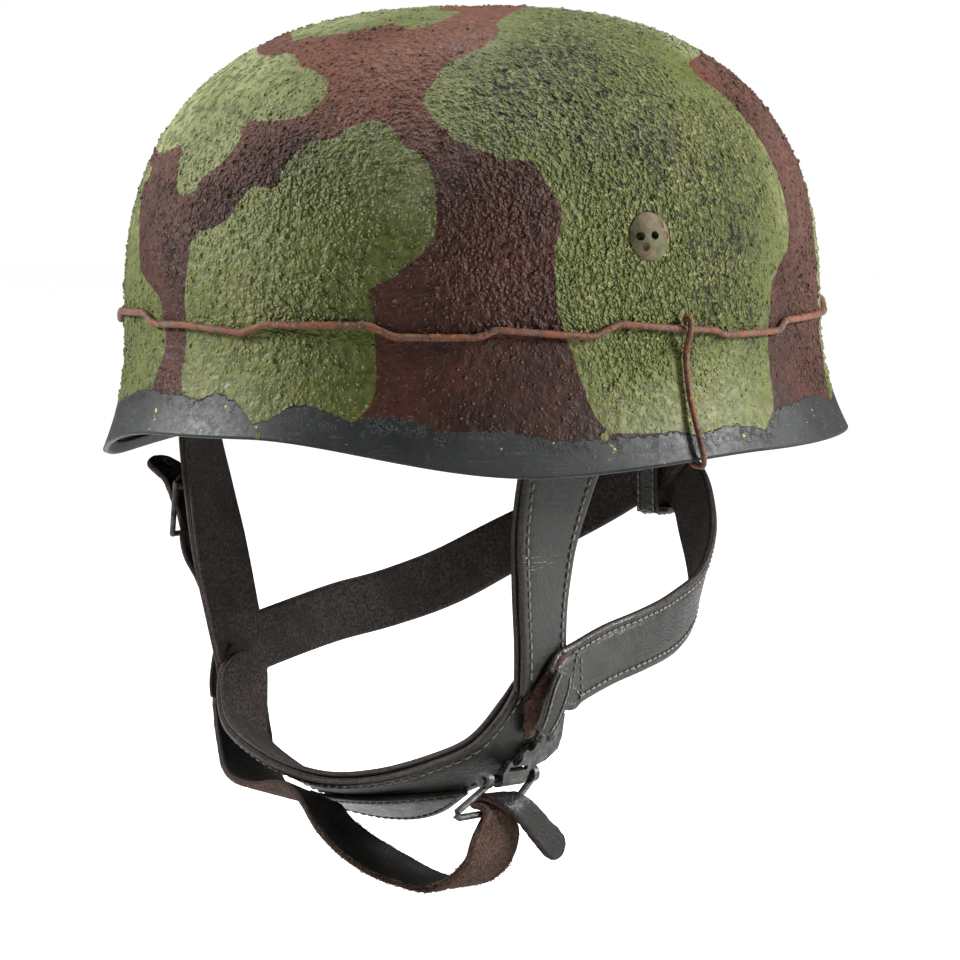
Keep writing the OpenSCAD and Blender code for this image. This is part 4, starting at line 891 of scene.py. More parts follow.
def make_hole_paint():
    """Paint that has run into some holes of the bolt heads; a hole is (its turn, how deep the paint sags)."""
    head_d, head_h, vent_r, vent_d = 16.0, 3.0, 5.0, 2.9
    head_lift, paint_drop = 0.25, 0.12
    rows, cols = 5, 20
    dome_r = (head_d * head_d / 4 + head_h * head_h) / (2 * head_h)
    filled = (("front_left", FRONT_BOLT, ((90, 0.4), (135, 0.5), (315, 0.9))),
              ("rear_left", REAR_BOLT, ((270, 0.6),)))
    for name, phi, holes in filled:
        mid, out = shell_at(phi, BOLT_Z), shell_out(phi, BOLT_Z)
        level = unit(np.cross((0, 0, 1), out))
        down = np.cross(level, out)
        points, faces = [], []
        for turn_by, deep in holes:
            hole_x, hole_y = (vent_r * f(math.radians(turn_by)) for f in (math.cos, math.sin))
            faces += moved(grid_faces(rows, cols, True) + [tuple(range(cols - 1, -1, -1))], len(points))
            for r in range(rows):
                share = r / (rows - 1)
                for c in range(cols):
                    a, rad = math.tau * c / cols, vent_d / 2 * (0.05 + 0.99 * share)
                    x, y = hole_x + rad * math.cos(a), hole_y + rad * math.sin(a)
                    z = head_lift + head_h - dome_r + math.sqrt(dome_r ** 2 - x * x - y * y)
                    z -= paint_drop + deep * (1 - share ** 2)
                    points.append(mid + down * x + level * y + out * z)
        make("hole_paint_" + name, points, faces, material=PLUG)


# Wires
def tube(route, d, sides=10, closed=False, rough=0.0, seed=0.0, taper=None):
    """Points and faces of a round wire along a route of mm points."""
    n = len(route)
    points = []
    for i in range(n):
        if closed:
            a, b = route[i - 1], route[(i + 1) % n]
        else:
            a, b = route[max(i - 1, 0)], route[min(i + 1, n - 1)]
        along = unit(b - a)
        u = unit(np.cross(along, (0.1, 0.2, 1)))
        v = np.cross(u, along)
        r = d / 2 * (taper[i] if taper else 1)
        for k in range(sides):
            t = math.tau * k / sides
            points.append(route[i] + (u * math.cos(t) + v * math.sin(t)) * r)
    points = np.array(points)
    if rough:
        out = unit(points - np.repeat(route, sides, axis=0))
        points = points + out * (rough * fractal(points, 2.2, 3, seed))[:, None]
    faces = grid_faces(n, sides, True, ring=closed)
    if not closed:
        last, centre = (n - 1) * sides, n * sides
        faces += cap_faces(0, sides, centre, flip=True) + cap_faces(last, sides, centre + 1)
        points = np.vstack([points, route[0], route[-1]])
    return points, faces


WIRE_D, WIRE_Z, KINK_H = 2.4, 47.0, 4.0
HOOK_TURN, HOOK_D = 81.0, WIRE_D * 0.85
# the wire's kinks: (degrees, rise as a share of KINK_H)
KINKS = [(-35, 1.1), (-25, 1.2), (-19, 1.3), (-15, 0.4), (-5, 0.5), (8, 0), (12, 0.7), (30, 0.7),
         (34, -0.3), (47, -0.4), (49.5, 0.2), (65, -0.6), (69, 0.4), (81, -0.3), (87, -0.5),
         (89.5, -1), (104, -1), (105.5, -0.2), (123, -0.1), (136, 0), (140, 0.8), (150, 0.7), (154, -0.2),
         (171, 0), (174, -0.9), (196, -0.8), (200, 0.3), (226, 0.2), (230, 1), (249, 0.8),
         (253, -0.3), (284, -0.3), (288, 0.5), (298, 0.6), (302, 0), (318, 0.2)]


def make_foliage_wire():
    """The wire round the shell, a ring with long kinks."""
    stand_off, rough = 0.25, 0.12
    turns = np.arange(0, 360, 0.75)
    xs, kinks = np.array(KINKS + [(KINKS[0][0] + 360, KINKS[0][1])]).T
    k = np.interp((turns - xs[0]) % 360 + xs[0], xs, kinks)
    k = (np.roll(k, 1) + 2 * k + np.roll(k, -1)) / 4
    z = WIRE_Z + KINK_H * k
    route = shell_at(turns, z) + shell_out(turns, z) * (WIRE_D / 2 + stand_off)
    points, faces = tube(route, WIRE_D, 12, True, rough, 3)
    make("foliage_wire_rusty", points, faces, material=RUST, replaces=["foliage_wire"])


def hook_route():
    """The left hook: over the wire, down the shell, round the rim and up inside."""
    low, at_wire = float(rim_z(HOOK_TURN)), WIRE_Z - 1.2
    r = HOOK_D / 2
    lie, over = r + 0.4, WIRE_D + r + 0.6
    above = at_wire + WIRE_D / 2 + HOOK_D
    out, edge = shell_out(HOOK_TURN, at_wire), shell_at(HOOK_TURN, low)
    outside = ((above, lie), (above, over), (at_wire, over + 0.3), (at_wire - WIRE_D - 1, over - 0.6),
               (at_wire - 9, lie + 0.3), ((low + at_wire) / 2, lie + 0.3),
               (low + (at_wire - low) / 4, lie + 0.9), (low + 2, lie + 0.9))
    stations = [shell_at(HOOK_TURN, z) + shell_out(HOOK_TURN, z) * off for z, off in outside]
    round_rim = ((lie, -r - 0.6), (-RIM_BEAD / 2, -r - 1), (-RIM_BEAD - r - 0.6, -r - 0.2),
                 (-RIM_BEAD - r - 2.7, 4))
    return np.array(stations + [edge + out * off + UP * rise for off, rise in round_rim])


def make_hooks():
    for side, name in ((1, "left"), (-1, "right")):
        points, faces = tube(smooth_route(hook_route() * (side, 1, 1), 6), HOOK_D, 10, rough=0.1, seed=5)
        if side < 0:
            faces = [f[::-1] for f in faces]
        make("wire_hook_rusty_" + name, points, faces, material=RUST,
             replaces=["wire_hook_" + name])


# Straps: stations are [x, y, z, facing x, y, z, width] as in part.scad
def frames(stations, steps=6, thick=STRAP_T, lift=0.0, waves=0.0, seed=0.0):
    """The line of a strap, cut close, with its directions and width at each place."""
    route = smooth_route(stations, steps)
    p, facing, width = route[:, :3], route[:, 3:6], route[:, 6]
    along = unit(np.gradient(p, axis=0))
    across = unit(np.cross(along, facing))
    out = np.cross(across, along)
    mid = p + out * lift
    if waves:
        mid = mid + out * (waves * fractal(mid, 17, 2, seed))[:, None]
    run = np.concatenate([[0], np.cumsum(np.linalg.norm(np.diff(mid, axis=0), axis=1))])
    return dict(mid=mid, along=along, across=across, out=out, width=np.maximum(width, 0.8), run=run,
                thick=thick)


def on_strap(f, s, *keys):
    """The strap's middle and directions s mm along it."""
    return [np.array([np.interp(s, f["run"], f[key][:, i]) for i in range(3)]) for key in keys]


def narrowing(w):
    """How much closer to the edge a stitch line and its groove lie on a narrow strap."""
    return min(1.0, w / 16)


def section(w, thick, groove, inset, crown):
    """One cut through a strap: (across, out, side, rim) round the edge."""
    r = min(thick / 2, w / 4) * 0.92
    h = thick / 2
    flat = w / 2 - r
    reach = narrowing(w)
    from_edge = (0.0, inset - 1.9, inset - 1.1, inset - 0.45, inset + 0.3, inset + 1.1, inset + 2.4)
    us = [u for u in (flat - d * reach for d in from_edge) if u > 0] if flat > 1 else [flat]
    while len(us) < len(from_edge):
        us.append(us[-1] * 0.6)
    half = us + [us[-1] * 0.5]
    full = half + [0.0] + [-u for u in reversed(half)]
    rows = []
    for u in full:
        dip = groove * math.exp(-((flat - abs(u) - (inset - 0.8) * reach) / 0.75) ** 2)
        rows.append((u, h - dip + crown * (1 - (u / max(flat, 0.1)) ** 2), 1.0, 0.0))
    turn = [math.radians(a) for a in (65, 35, 0, -35, -65)]
    rows += [(-flat - r * math.cos(t), h * math.sin(t), math.sin(t), math.cos(t)) for t in turn]
    rows += [(u, -h, -1.0, 0.0) for u in reversed(full)]
    rows += [(flat + r * math.cos(t), h * math.sin(t), math.sin(t), math.cos(t)) for t in reversed(turn)]
    return rows


def strap_mesh(f, groove, inset, crown, fuzz, seed):
    """Points, faces and marks of a strap: side is 1 on its face, -1 on its back; rim is 1 on its cut edge."""
    points, marks = [], dict(side=[], rim=[], run=[], over=[], sew=[])

    def add(point, *values):
        points.append(point)
        for key, v in zip(marks, values):
            marks[key].append(v)

    n = len(f["mid"])
    for i in range(n):
        w, mid, across, out, run = (f[key][i] for key in ("width", "mid", "across", "out", "run"))
        for u, v, side, rim in section(w, f["thick"], groove, inset, crown):
            near_line = math.exp(-((w / 2 - abs(u) - inset * narrowing(w)) / 0.7) ** 2)
            add(mid + across * u + out * v, side, rim, run, u, near_line if side > 0.5 and groove else 0.0)
    cols = len(points) // n
    if fuzz:
        at, rim, side = np.array(points), np.array(marks["rim"]), np.array(marks["side"])
        push = at - np.repeat(f["mid"], cols, axis=0)
        push /= np.maximum(np.linalg.norm(push, axis=1, keepdims=True), 0.1)
        wear = fuzz * fractal(at, 1.7, 3, seed) * (0.3 + 0.7 * rim + 0.3 * (side > 0))
        points = list(at + push * wear[:, None])
    faces = grid_faces(n, cols, True)
    for end in (0, n - 1):
        faces += cap_faces(end * cols, cols, len(points), flip=end == 0)
        add(f["mid"][end], 0.0, 1.0, f["run"][end], 0.0, 0.0)
    return np.array(points), faces, marks


def stitch(route, d):
    return tube(route, d, 6, taper=[0.45, 0.9, 1, 0.9, 0.45])


def threads(f, lines, pitch, start=3.0, stop=3.0, groove=0.3):
    """Stitches along a strap; a line is a distance in from one edge, or, less than 0, from the other."""
    length, d, sunk, arch = 2.5, 0.75, 0.1, 0.16
    level = f["thick"] / 2 - groove * 0.8 + d / 2 - sunk
    parts = []
    for line in lines:
        s = start
        while s < f["run"][-1] - stop:
            ends = []
            for t, rise in ((s - length / 2, 0.0), (s, arch), (s + length / 2, 0.0)):
                mid, across, out = on_strap(f, t, "mid", "across", "out")
                u = (np.interp(t, f["run"], f["width"]) / 2 - abs(line)) * (1 if line > 0 else -1)
                ends.append(mid + across * u + out * (level + rise))
            a, b, c = ends
            if np.linalg.norm(c - a) > 0.3:
                parts.append(stitch([a, a * 0.75 + b * 0.25, b, c * 0.75 + b * 0.25, c], d))
            s += pitch
    return join_faces(parts)


def seam(f, lines):
    """Stitches along lines between places (run, over) on a strap's face."""
    pitch, d = 2.6, 0.7
    parts = []
    for line in lines:
        for (s0, u0), (s1, u1) in zip(line, line[1:]):
            count = max(1, round(math.hypot(s1 - s0, u1 - u0) / pitch))
            for k in range(count):
                route = []
                for step, rise in ((0.14, 0.1), (0.3, 0.3), (0.5, 0.36), (0.7, 0.3), (0.86, 0.1)):
                    t = (k + step) / count
                    mid, across, out = on_strap(f, s0 + (s1 - s0) * t, "mid", "across", "out")
                    route.append(mid + across * (u0 + (u1 - u0) * t) + out * (f["thick"] / 2 + rise))
                parts.append(stitch(route, d))
    return join_faces(parts)


def strap_piece(name, stations, replaces=(), lines=(), material=LEATHER, slot="strap_leather", body="root",
                steps=6, waves=0.0, seed=0.0, thick=STRAP_T, lift=0.0, groove=0.3, inset=3.0, crown=0.15,
                fuzz=0.0, pitch=3.5, start=3.0, stop=3.0):
    """A strap and the stitches on its face; gives back the strap and its frames."""
    f = frames(stations, steps, thick, lift, waves, seed)
    points, faces, marks = strap_mesh(f, groove, inset, crown, fuzz, seed)
    obj = make(name, points, faces, body=body, material=material, marks=marks, replaces=replaces)
    if lines:
        points, faces = threads(f, lines, pitch, start, stop, groove)
        make(name + "_stitches", points, faces, material=THREAD)
    return obj, f


def mirrored(stations):
    """The same strap on the other side."""
    return [(-s[0], s[1], s[2], -s[3], s[4], s[5], s[6]) for s in stations]


def scaled(stations, times=1.0, more=0.0):
    """The same strap, wider or narrower."""
    return [(*s[:6], s[6] * times + more) for s in stations]


def strap_top(phi):
    """A strap's stations on the liner band, where it starts."""
    heights = ((BAND_HIGH + 7, 0.3), (BAND_HIGH + 4, 0.8), (BAND_HIGH - 3, 1), (BOLT_Z - 2, 1),
               (BAND_LOW + 2, 1), (HEM_Z - 2, 1))
    return [(*band_at(phi, z, STRAP_T / 2 + 0.3), *band_out(phi), STRAP_W * k) for z, k in heights]


FRONT_STRAP = strap_top(FRONT_BOLT) + [
    (91.4, -35.6, 42, 0.96, -0.26, 0.05, 28), (90, -45, 24, 0.95, -0.3, 0.1, 29),
    (86, -51, 6, 0.94, -0.33, 0.1, 28), (79.6, -52.5, -18, 0.98, -0.19, 0.12, 26),
    (75.9, -51.4, -38, 0.99, -0.05, 0.12, 24), (73, -49, -58, 0.99, 0, 0.08, 22),
    (71, -47, -73, 0.99, 0, -0.1, 22)]


def rear_stations(layer):
    """A rear strap from the left joint round the nape to the right bolt; layer is how far out it crosses."""
    return [
        (75.7, -47.5, -73, 0.98, -0.05, 0.06, 14.7), (75.8, -42, -71, 0.98, -0.03, 0.04, 21),
        (75, -34, -68.5, 0.98, -0.05, -0.05, 21), (73, -16, -64.5, 0.99, 0.05, 0, 21),
        (72, 4, -61, 0.97, 0.2, 0, 21), (67, 25, -57.5, 0.9, 0.42, 0, 21),
        (58.5, 47, -51, 0.8, 0.55, -0.2, 21), (45, 67, -39.5, 0.62, 0.68, -0.38, 21),
        (26, 85.5 + 0.7 * layer, -27, 0.36, 0.82, -0.38, 21),
        (13, 94.5 + 1.5 * layer, -18, 0.15, 0.95, -0.12, 21), (0, 97.5 + layer, -9, 0, 1, 0, 21),
        (-13, 95.5 + 1.5 * layer, 1, -0.12, 0.98, 0, 21), (-25, 95 + 0.7 * layer, 11, -0.24, 0.96, 0, 21),
        (-43, 94.7, 30, -0.52, 0.85, 0.05, 22)] + scaled(mirrored(reversed(strap_top(REAR_BOLT))), 0.9)


CHIN_HALF = [
    (68, -45.5, -71, 0.98, -0.05, -0.1, 19), (66.4, -51.5, -83, 0.9, -0.15, -0.35, 22),
    (58.5, -59, -95, 0.66, -0.33, -0.68, 21), (46, -62.5, -102, 0.42, -0.38, -0.82, 24),
    (24, -65, -109, 0.18, -0.4, -0.9, 26), (0, -66, -112, 0, -0.4, -0.9, 27)]
CHIN_STRAP = CHIN_HALF + mirrored(CHIN_HALF[-2::-1])
JOINT_PATCH = [
    (73.6, -45, -67.5, 0.98, -0.1, -0.06, 8), (73.2, -47, -73, 0.98, -0.12, -0.1, 10),
    (72.2, -50, -81, 0.96, -0.15, -0.18, 9), (70.6, -52, -85.5, 0.93, -0.18, -0.3, 7)]
JOINT_STRIP = [
    (76.6, -42.5, -61.5, 0.98, -0.1, 0.1, 2), (76.2, -46, -65, 0.98, -0.12, 0.05, 3.6),
    (75.0, -50.2, -70.5, 0.98, -0.12, -0.05, 5), (73.2, -53, -76, 0.96, -0.2, -0.15, 6),
    (71.2, -53, -82, 0.93, -0.2, -0.3, 6.4), (68.4, -52, -89, 0.85, -0.25, -0.45, 4)]
REAR_END_SEAMS = (((14, -8), (8.5, 1), (6.5, 4)), ((15, -5), (12.5, 6), (10, 9)), ((7, 2.5), (12, 8.5)))
# the right buckle's bar, which the chin loop's tongue is buckled to
SIDE = np.array([-86.5, -52.8, -11.0])
SIDE_TURN = math.radians(12)
SIDE_OUT = np.array([-math.cos(SIDE_TURN), -math.sin(SIDE_TURN), 0])


def by_side(out, rise, face_out, face_up, width):
    """A station out and up from the right buckle's bar."""
    return (*(SIDE + SIDE_OUT * out + UP * rise), *(SIDE_OUT * face_out + UP * face_up), width)


CHIN_LOOP = [
    by_side(15.7, 7.4, 0.53, -0.85, 6), by_side(14.7, 6.8, 0.53, -0.85, 13),
    by_side(12.5, 5.3, 0.53, -0.85, 17), by_side(9, 3.1, 0.53, -0.85, 18), by_side(6.4, 1, 0.65, -0.75, 18),
    by_side(4.75, -1.8, 0.85, -0.5, 18), by_side(3, -6, 0.9, -0.35, 18), by_side(0.6, -11, 0.9, -0.3, 18),
    by_side(-1.2, -17.5, 1, -0.1, 18), by_side(-1.2, -21, 1, 0, 19),
    (-82.2, -45.5, -43, -0.98, -0.12, 0, 23), (-82.4, -38, -58, -0.98, -0.12, 0, 25),
    (-83.4, -35, -74, -0.98, -0.1, -0.05, 25), (-76, -41, -94, -0.85, 0, -0.5, 25),
    (-60, -54, -106, -0.55, -0.15, -0.8, 25), (-41, -68, -112, -0.2, -0.25, -0.95, 25),
    (-20, -78, -112.5, 0, -0.33, -0.94, 25), (0, -83.5, -111.5, -0.4, -0.33, -0.88, 25),
    (10, -84, -120, -0.62, -0.2, -0.75, 25), (20, -81, -128, -0.6, -0.12, -0.78, 25),
    (30, -74, -134.5, -0.4, -0.05, -0.9, 25), (41, -67, -139, 0, 0, -0.99, 25),
    (51.5, -64, -137, 0.6, 0, -0.8, 25), (59.8, -63, -130, 0.95, 0, -0.3, 24),
    (63.4, -63, -121.6, 0.98, 0, 0.05, 23)]
# the chin buckle's bar, which the loop's tail is folded over
BAR_X, BAR_Z, BAR_R = 61.8, -113.6, 1.2
FOLD_Y, FOLD_W, TAIL_T = -62.7, 14.0, 2.2


def tail_stations():
    """Over the chin buckle's bar, back on itself and down in front."""
    x, z = BAR_X, BAR_Z
    over, turn_r = BAR_R + SOFT_GAP + TAIL_T / 2, TAIL_T / 2 + 0.15
    turn_z = z + over + turn_r
    stations = []
    for a in (0, 30, 60, 90):
        cos, sin = math.cos(math.radians(a)), math.sin(math.radians(a))
        stations.append((x + over * cos, FOLD_Y, z + over * sin, cos, 0, sin, FOLD_W))
    for a in (-60, -20, 20, 60):
        cos, sin = math.cos(math.radians(a)), math.sin(math.radians(a))
        stations.append((x - 2 - turn_r * cos, FOLD_Y, turn_z + turn_r * sin, cos, 0, -sin, FOLD_W))
    stations += [
        (x + 1, FOLD_Y + 1, turn_z + turn_r, 0, 0, -1, FOLD_W - 2),
        (x + 4.8, FOLD_Y + 2.5, turn_z + 0.2, -0.6, 0.1, -0.75, 9.5),
        (x + 6.8, FOLD_Y + 5.5, turn_z - 1.7, -0.95, 0.15, -0.3, 9)]
    hanging = ((7.2, 10.2, -1.7, 9.5), (7.4, 15.9, -7.2, 10), (7.6, 21.7, -12.4, 10.5), (7.6, 24.5, -15, 8),
               (7.6, 25.5, -15.8, 3.5))
    return stations + [(x + dx, FOLD_Y + dy, z + dz, -0.97, 0.2, -0.1, width) for dx, dy, dz,
                       width in hanging]


def make_fibres(f, first, last):
    """Loose fibres on the rough side and the edges of the chin loop, from first to last mm along it."""
    rng = np.random.default_rng(31)
    count, reach, thick, on_edge = 4200, 1.2, 0.13, 0.45
    points, faces = [], []
    for _ in range(count):
        s = rng.uniform(first, last)
        mid, across, out, along = on_strap(f, s, "mid", "across", "out", "along")
        w = np.interp(s, f["run"], f["width"]) / 2
        if rng.random() < on_edge:
            u = w * (1 if rng.random() < 0.5 else -1) * rng.uniform(0.97, 1.0)
            v = rng.uniform(-0.5, 0.5) * f["thick"]
            aim = across * np.sign(u) + out * rng.uniform(-0.2, 0.9)
        else:
            u, v = w * rng.uniform(-0.95, 0.95), f["thick"] / 2
            aim = out + across * rng.uniform(-1.1, 1.1)
        root = mid + across * u + out * (v - 0.1)
        aim = unit(aim + along * rng.uniform(-1, 1))
        tip = root + aim * reach * rng.uniform(0.5, 1.4)
        lean = unit(np.cross(aim, rng.normal(size=3))) * thick
        faces += moved([(0, 1, 3), (1, 2, 3), (2, 0, 3)], len(points))
        points += [root + lean, root - lean, root + np.cross(aim, lean), tip]
    make("chin_loop_fibres", points, faces, material=FIBRE, smooth=False)


def on_side(side, stations):
    return stations if side > 0 else mirrored(stations)


def make_cheek_straps():
    """The front and rear straps with the patch and the raw strip at their joint, on both sides."""
    for side, name in ((1, "left"), (-1, "right")):
        strap_piece("front_strap_leather_" + name, on_side(side, FRONT_STRAP), ["front_strap_" + name],
                    (3.1, -3.1), seed=side, waves=0.2)
        _, rear = strap_piece("rear_strap_leather_" + name, on_side(side, rear_stations(side * 1.7)),
                              ["rear_strap_" + name], (2.9, -2.9), seed=4 + side, waves=0.15, inset=2.8,
                              pitch=3.3, start=13)
        points, faces = seam(rear, [[(s, u * side) for s, u in line] for line in REAR_END_SEAMS])
        make("rear_strap_end_stitches_" + name, points, faces, material=THREAD)
        strap_piece("joint_patch_leather_" + name, on_side(side, JOINT_PATCH), ["joint_patch_" + name],
                    (2.0, -2.0), seed=8 + side, thick=1.6, lift=5.6, inset=2.2, groove=0.15, steps=8,
                    pitch=2.4, start=2, stop=2)
        strap_piece("joint_strip_raw_" + name, on_side(side, JOINT_STRIP), material=RAW, seed=28 + side,
                    waves=0.3, thick=1.8, groove=0.0, crown=0.3, fuzz=0.45, steps=10)


def widened(stations, more):
    """A lining's stations: a little wider than the strap, narrowing to nothing at its ends."""
    full = scaled(stations, more=more)
    first, last = [], []
    for share, width in ((0, 0.06), (0.12, 0.5), (0.3, 0.86)):
        for end, a, b in ((first, full[0], full[1]), (last, full[-1], full[-2])):
            end.append((*(np.array(a[:6]) * (1 - share) + np.array(b[:6]) * share), a[6] * width))
    return first + full[1:-1] + last[::-1]


def make_linings():
    """The inner layer that shows as an edge behind the front straps and the chin strap."""
    lining = dict(waves=0.1, thick=1.8, lift=-STRAP_T / 2 - 1.0, groove=0.0)
    low_end = (69.6, -48.5, -81, 0.97, -0.06, -0.2, 21)
    for side, name in ((1, "left"), (-1, "right")):
        stations = widened(on_side(side, FRONT_STRAP[7:] + [low_end]), 1.6)
        strap_piece("front_lining_" + name, stations, seed=20 + side, **lining)
    strap_piece("chin_lining", widened(CHIN_STRAP, 1.8), seed=23, **lining)


def make_chin_strap():
    strap_piece("chin_strap_leather", CHIN_STRAP, ["chin_strap"], (3.1, -3.1), seed=11, waves=0.2)


def make_chin_pad():
    """The lens of leather under the chin strap."""
    mid_x, half_len, half_chin, width = 9.5, 34, 46, 22
    lens = []
    for i in range(-6, 7):
        t = i / 6
        x = mid_x + half_len * t
        far = abs(x) / half_chin
        lens.append((x, -59 + 4 * far ** 2, -115 + 9.5 * far ** 2.2, 0.4 * x / half_chin, -0.4, -0.9,
                     max(2, width * (1 - abs(t) ** 2.2))))
    strap_piece("chin_pad_leather", lens, ["chin_pad"], (2.2, -2.2), seed=13, waves=0.2, thick=2.0,
                lift=STRAP_T / 2 + 1.3, inset=2.4, steps=4, start=5, stop=5, pitch=3.0)


def make_chin_loop():
    """The loose suede loop; its end follows the chin buckle's frame."""
    steps, first_rough, last_rough = 6, 18, 23
    loop, f = strap_piece("chin_loop_suede", CHIN_LOOP + tail_stations(), ["chin_loop", "loop_tail"],
                          material=SUEDE, slot="suede", body=None, seed=17, thick=2.6, groove=0.25,
                          inset=2.4, fuzz=0.3, steps=steps)
    make_fibres(f, f["run"][first_rough * steps], f["run"][last_rough * steps])
    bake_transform(loop)


def make_nape_keeper():
    """The leather loop round the two rear straps."""
    wide, deep = REAR_W * 1.7 + 1.6, 2 * STRAP_T + 4 * SOFT_GAP + 3.6 + 1.6
    mid, r, width = np.array([0, 96.8, -9.0]), 2.6, 10
    stations = []
    for sy, sz, first in ((1, 1, 0), (-1, 1, 90), (-1, -1, 180), (1, -1, 270)):
        for a in (0, 30, 60, 90):
            t = math.radians(first + a)
            n = np.array([0, math.cos(t), math.sin(t)])
            p = mid + np.array([0, sy * (deep / 2 - r), sz * (wide / 2 - r)]) + r * n
            stations.append((*p, *n, width))
    strap_piece("nape_keeper_leather", stations + stations[:1], ["nape_keeper"], (1.6, -1.6), steps=2,
                thick=1.6, inset=2.0, groove=0.12, pitch=2.8)


def make_side_chape():
    """The leather on the right front strap, folded round the right buckle's bar."""
    width, fold_r = 15, 2.05
    tab = [spline(*np.array(FRONT_STRAP[7:11], float), t) for t in (0, 0.175, 0.35, 0.525, 0.7)]
    strap_piece("side_chape_tab", mirrored([(*s[:6], width) for s in tab]), ["side_chape"], (1.9, -1.9),
                steps=5, thick=1.6, lift=2.3, inset=2.2, groove=0.12, pitch=2.6)
    turn = np.radians(range(0, 361, 30))
    around = [SIDE_OUT * math.cos(t) + UP * math.sin(t) for t in turn]
    strap_piece("side_chape_fold", [(*(SIDE + n * fold_r), *n, width) for n in around], steps=2, thick=1.6,
                groove=0.0)


# Liner and pads
def liner_holes():
    """The vents in the leather's dome, two rings and one at the top: (x, y) in mm."""
    rings = ((48, 60, np.arange(22.5, 360, 45)), (24, 30, (0, 90, 180, 270)))
    return [on_ellipse(a, 0.0, x, y)[:2] for x, y, turns in rings for a in turns] + [np.zeros(2)]


def make_liner():
    """The leather from its hem below the band up to its vented dome."""
    low, inner, cols, hem_rows, dome_rows = BAND_HIGH - 4, BAND_WALL + 0.1, 260, 14, 45
    hole_r, cut_r, near_r, far_r, bolt_clear = 4.5, 4.4, 3.2, 5.8, 8.0
    wrinkle_depth = 0.35
    phi = np.arange(cols) * 360.0 / cols
    zs = [HEM_Z + (low - HEM_Z) * r / hem_rows for r in range(hem_rows)]
    for a in np.linspace(0, 90, dome_rows + 1)[:-1]:
        zs.append(low + (LINER_TOP - low) * math.sin(math.radians(a)) ** (2 / LINER_POWER))
    rings = []
    for z in zs:
        base, k = band_at(phi, min(z, low), -inner), dome_k(z, low, LINER_TOP, LINER_POWER)
        rings.append(np.stack([base[:, 0] * k, base[:, 1] * k, np.full(cols, z)], -1))
    points = np.concatenate(rings)
    push = points * (1, 1, 0.3)
    push /= np.maximum(np.linalg.norm(push, axis=1, keepdims=True), 1)
    wrinkles = wrinkle_depth * np.abs(fractal(points, 22, 2, 9)) * (points[:, 2] > low + 3)
    points = points - push * wrinkles[:, None]
    # points near a vent are drawn onto its circle, so that its edge is round
    for hole in liner_holes():
        d = points[:, :2] - hole
        far = np.linalg.norm(d, axis=1)
        near = (points[:, 2] > low) & (far > near_r) & (far < far_r)
        points[near, :2] = hole + d[near] / far[near][:, None] * hole_r
    pole, last = len(points), (len(zs) - 1) * cols
    faces = grid_faces(len(zs), cols, True) + cap_faces(last, cols, pole)
    points = np.vstack([points, LINER_TOP * UP])
    mids = np.array([points[list(f)].mean(0) for f in faces])
    keep = np.ones(len(faces), bool)
    for x, y in liner_holes():
        keep &= ~((mids[:, 2] > low) & (np.hypot(mids[:, 0] - x, mids[:, 1] - y) < cut_r))
    for place, out in bolt_places():
        foot = place - out * (STAND_OFF + BAND_WALL + 2.0)
        keep &= np.linalg.norm(mids - foot, axis=1) > bolt_clear
    faces = [f for f, k in zip(faces, keep) if k]
    marks = dict(side=np.ones(len(points)), rim=np.zeros(len(points)), run=points[:, 0] * 2,
                 over=points[:, 1])
    obj = make("leather_liner_formed", points, faces, material=LINER, marks=marks,
               replaces=["leather_liner"])
    thick = obj.modifiers.new("thickness", "SOLIDIFY")
    thick.thickness = LEATHER_T * MM
    thick.offset = -1
    turns, hem_off = np.arange(0, 361, 4.0), -inner - LEATHER_T - 0.05
    hem = [(*band_at(a, HEM_Z + 2.6, hem_off), *-band_out(a), 6) for a in turns]
    points, faces = threads(frames(hem, 1, 0.6), (2.0,), 3.6, groove=0.0, start=1, stop=1)
    make("liner_hem_stitches", points, faces, material=THREAD)


def rounding(from_edge, soft):
    """A pad's thickness near its edge, as a share: a quarter circle over the soft distance."""
    near = min(1.0, from_edge / soft + 1e-6)
    return math.sqrt(max(0, 1 - (1 - near) ** 2))


def pad_mesh(outer_at, inner_at, cols):
    """A block of sponge between two curved faces, its edges rounded."""
    rows, soft = 26, 0.16
    points = []
    for face in (outer_at, inner_at):
        for r in range(rows):
            for c in range(cols):
                u, v = c / (cols - 1) * 2 - 1, r / (rows - 1) * 2 - 1
                mid = (outer_at(u, v) + inner_at(u, v)) / 2
                k = 0.25 + 0.75 * rounding(1 - abs(u), soft) * rounding(1 - abs(v), soft)
                points.append(mid + (face(u, v) - mid) * k)
    n, top = rows * cols, grid_faces(rows, cols)
    faces = top + moved([q[::-1] for q in top], n)
    border = list(range(cols)) + [r * cols + cols - 1 for r in range(1, rows)]
    border += [(rows - 1) * cols + c for c in range(cols - 2, -1, -1)]
    border += [r * cols for r in range(rows - 2, 0, -1)]
    faces += [(b, a, a + n, b + n) for a, b in zip(border, border[1:] + border[:1])]
    return np.array(points), faces


def make_pad(name, points, faces):
    obj = make(name + "_sponge", points, faces, material=SPONGE, replaces=[name])


def make_side_pads():
    """The pads between band and shell, each from one angle to another."""
    low, high = 40.0, 102.0
    pads = (("pad_front", -54, 54, 54), ("pad_rear", 162, 198, 20), ("pad_side_left", 90, 126, 20),
            ("pad_side_right", -126, -90, 20))
    for name, first, last, cols in pads:
        def place(u, v):
            return (first + last) / 2 + (last - first) / 2 * u, (low + high) / 2 + (high - low) / 2 * v

        def outer(u, v):
            return shell_at(*place(u, v), SHELL_WALL + PAD_GAP)

        def inner(u, v):
            return band_at(*place(u, v), SOFT_GAP)

        make_pad(name, *pad_mesh(outer, inner, cols))


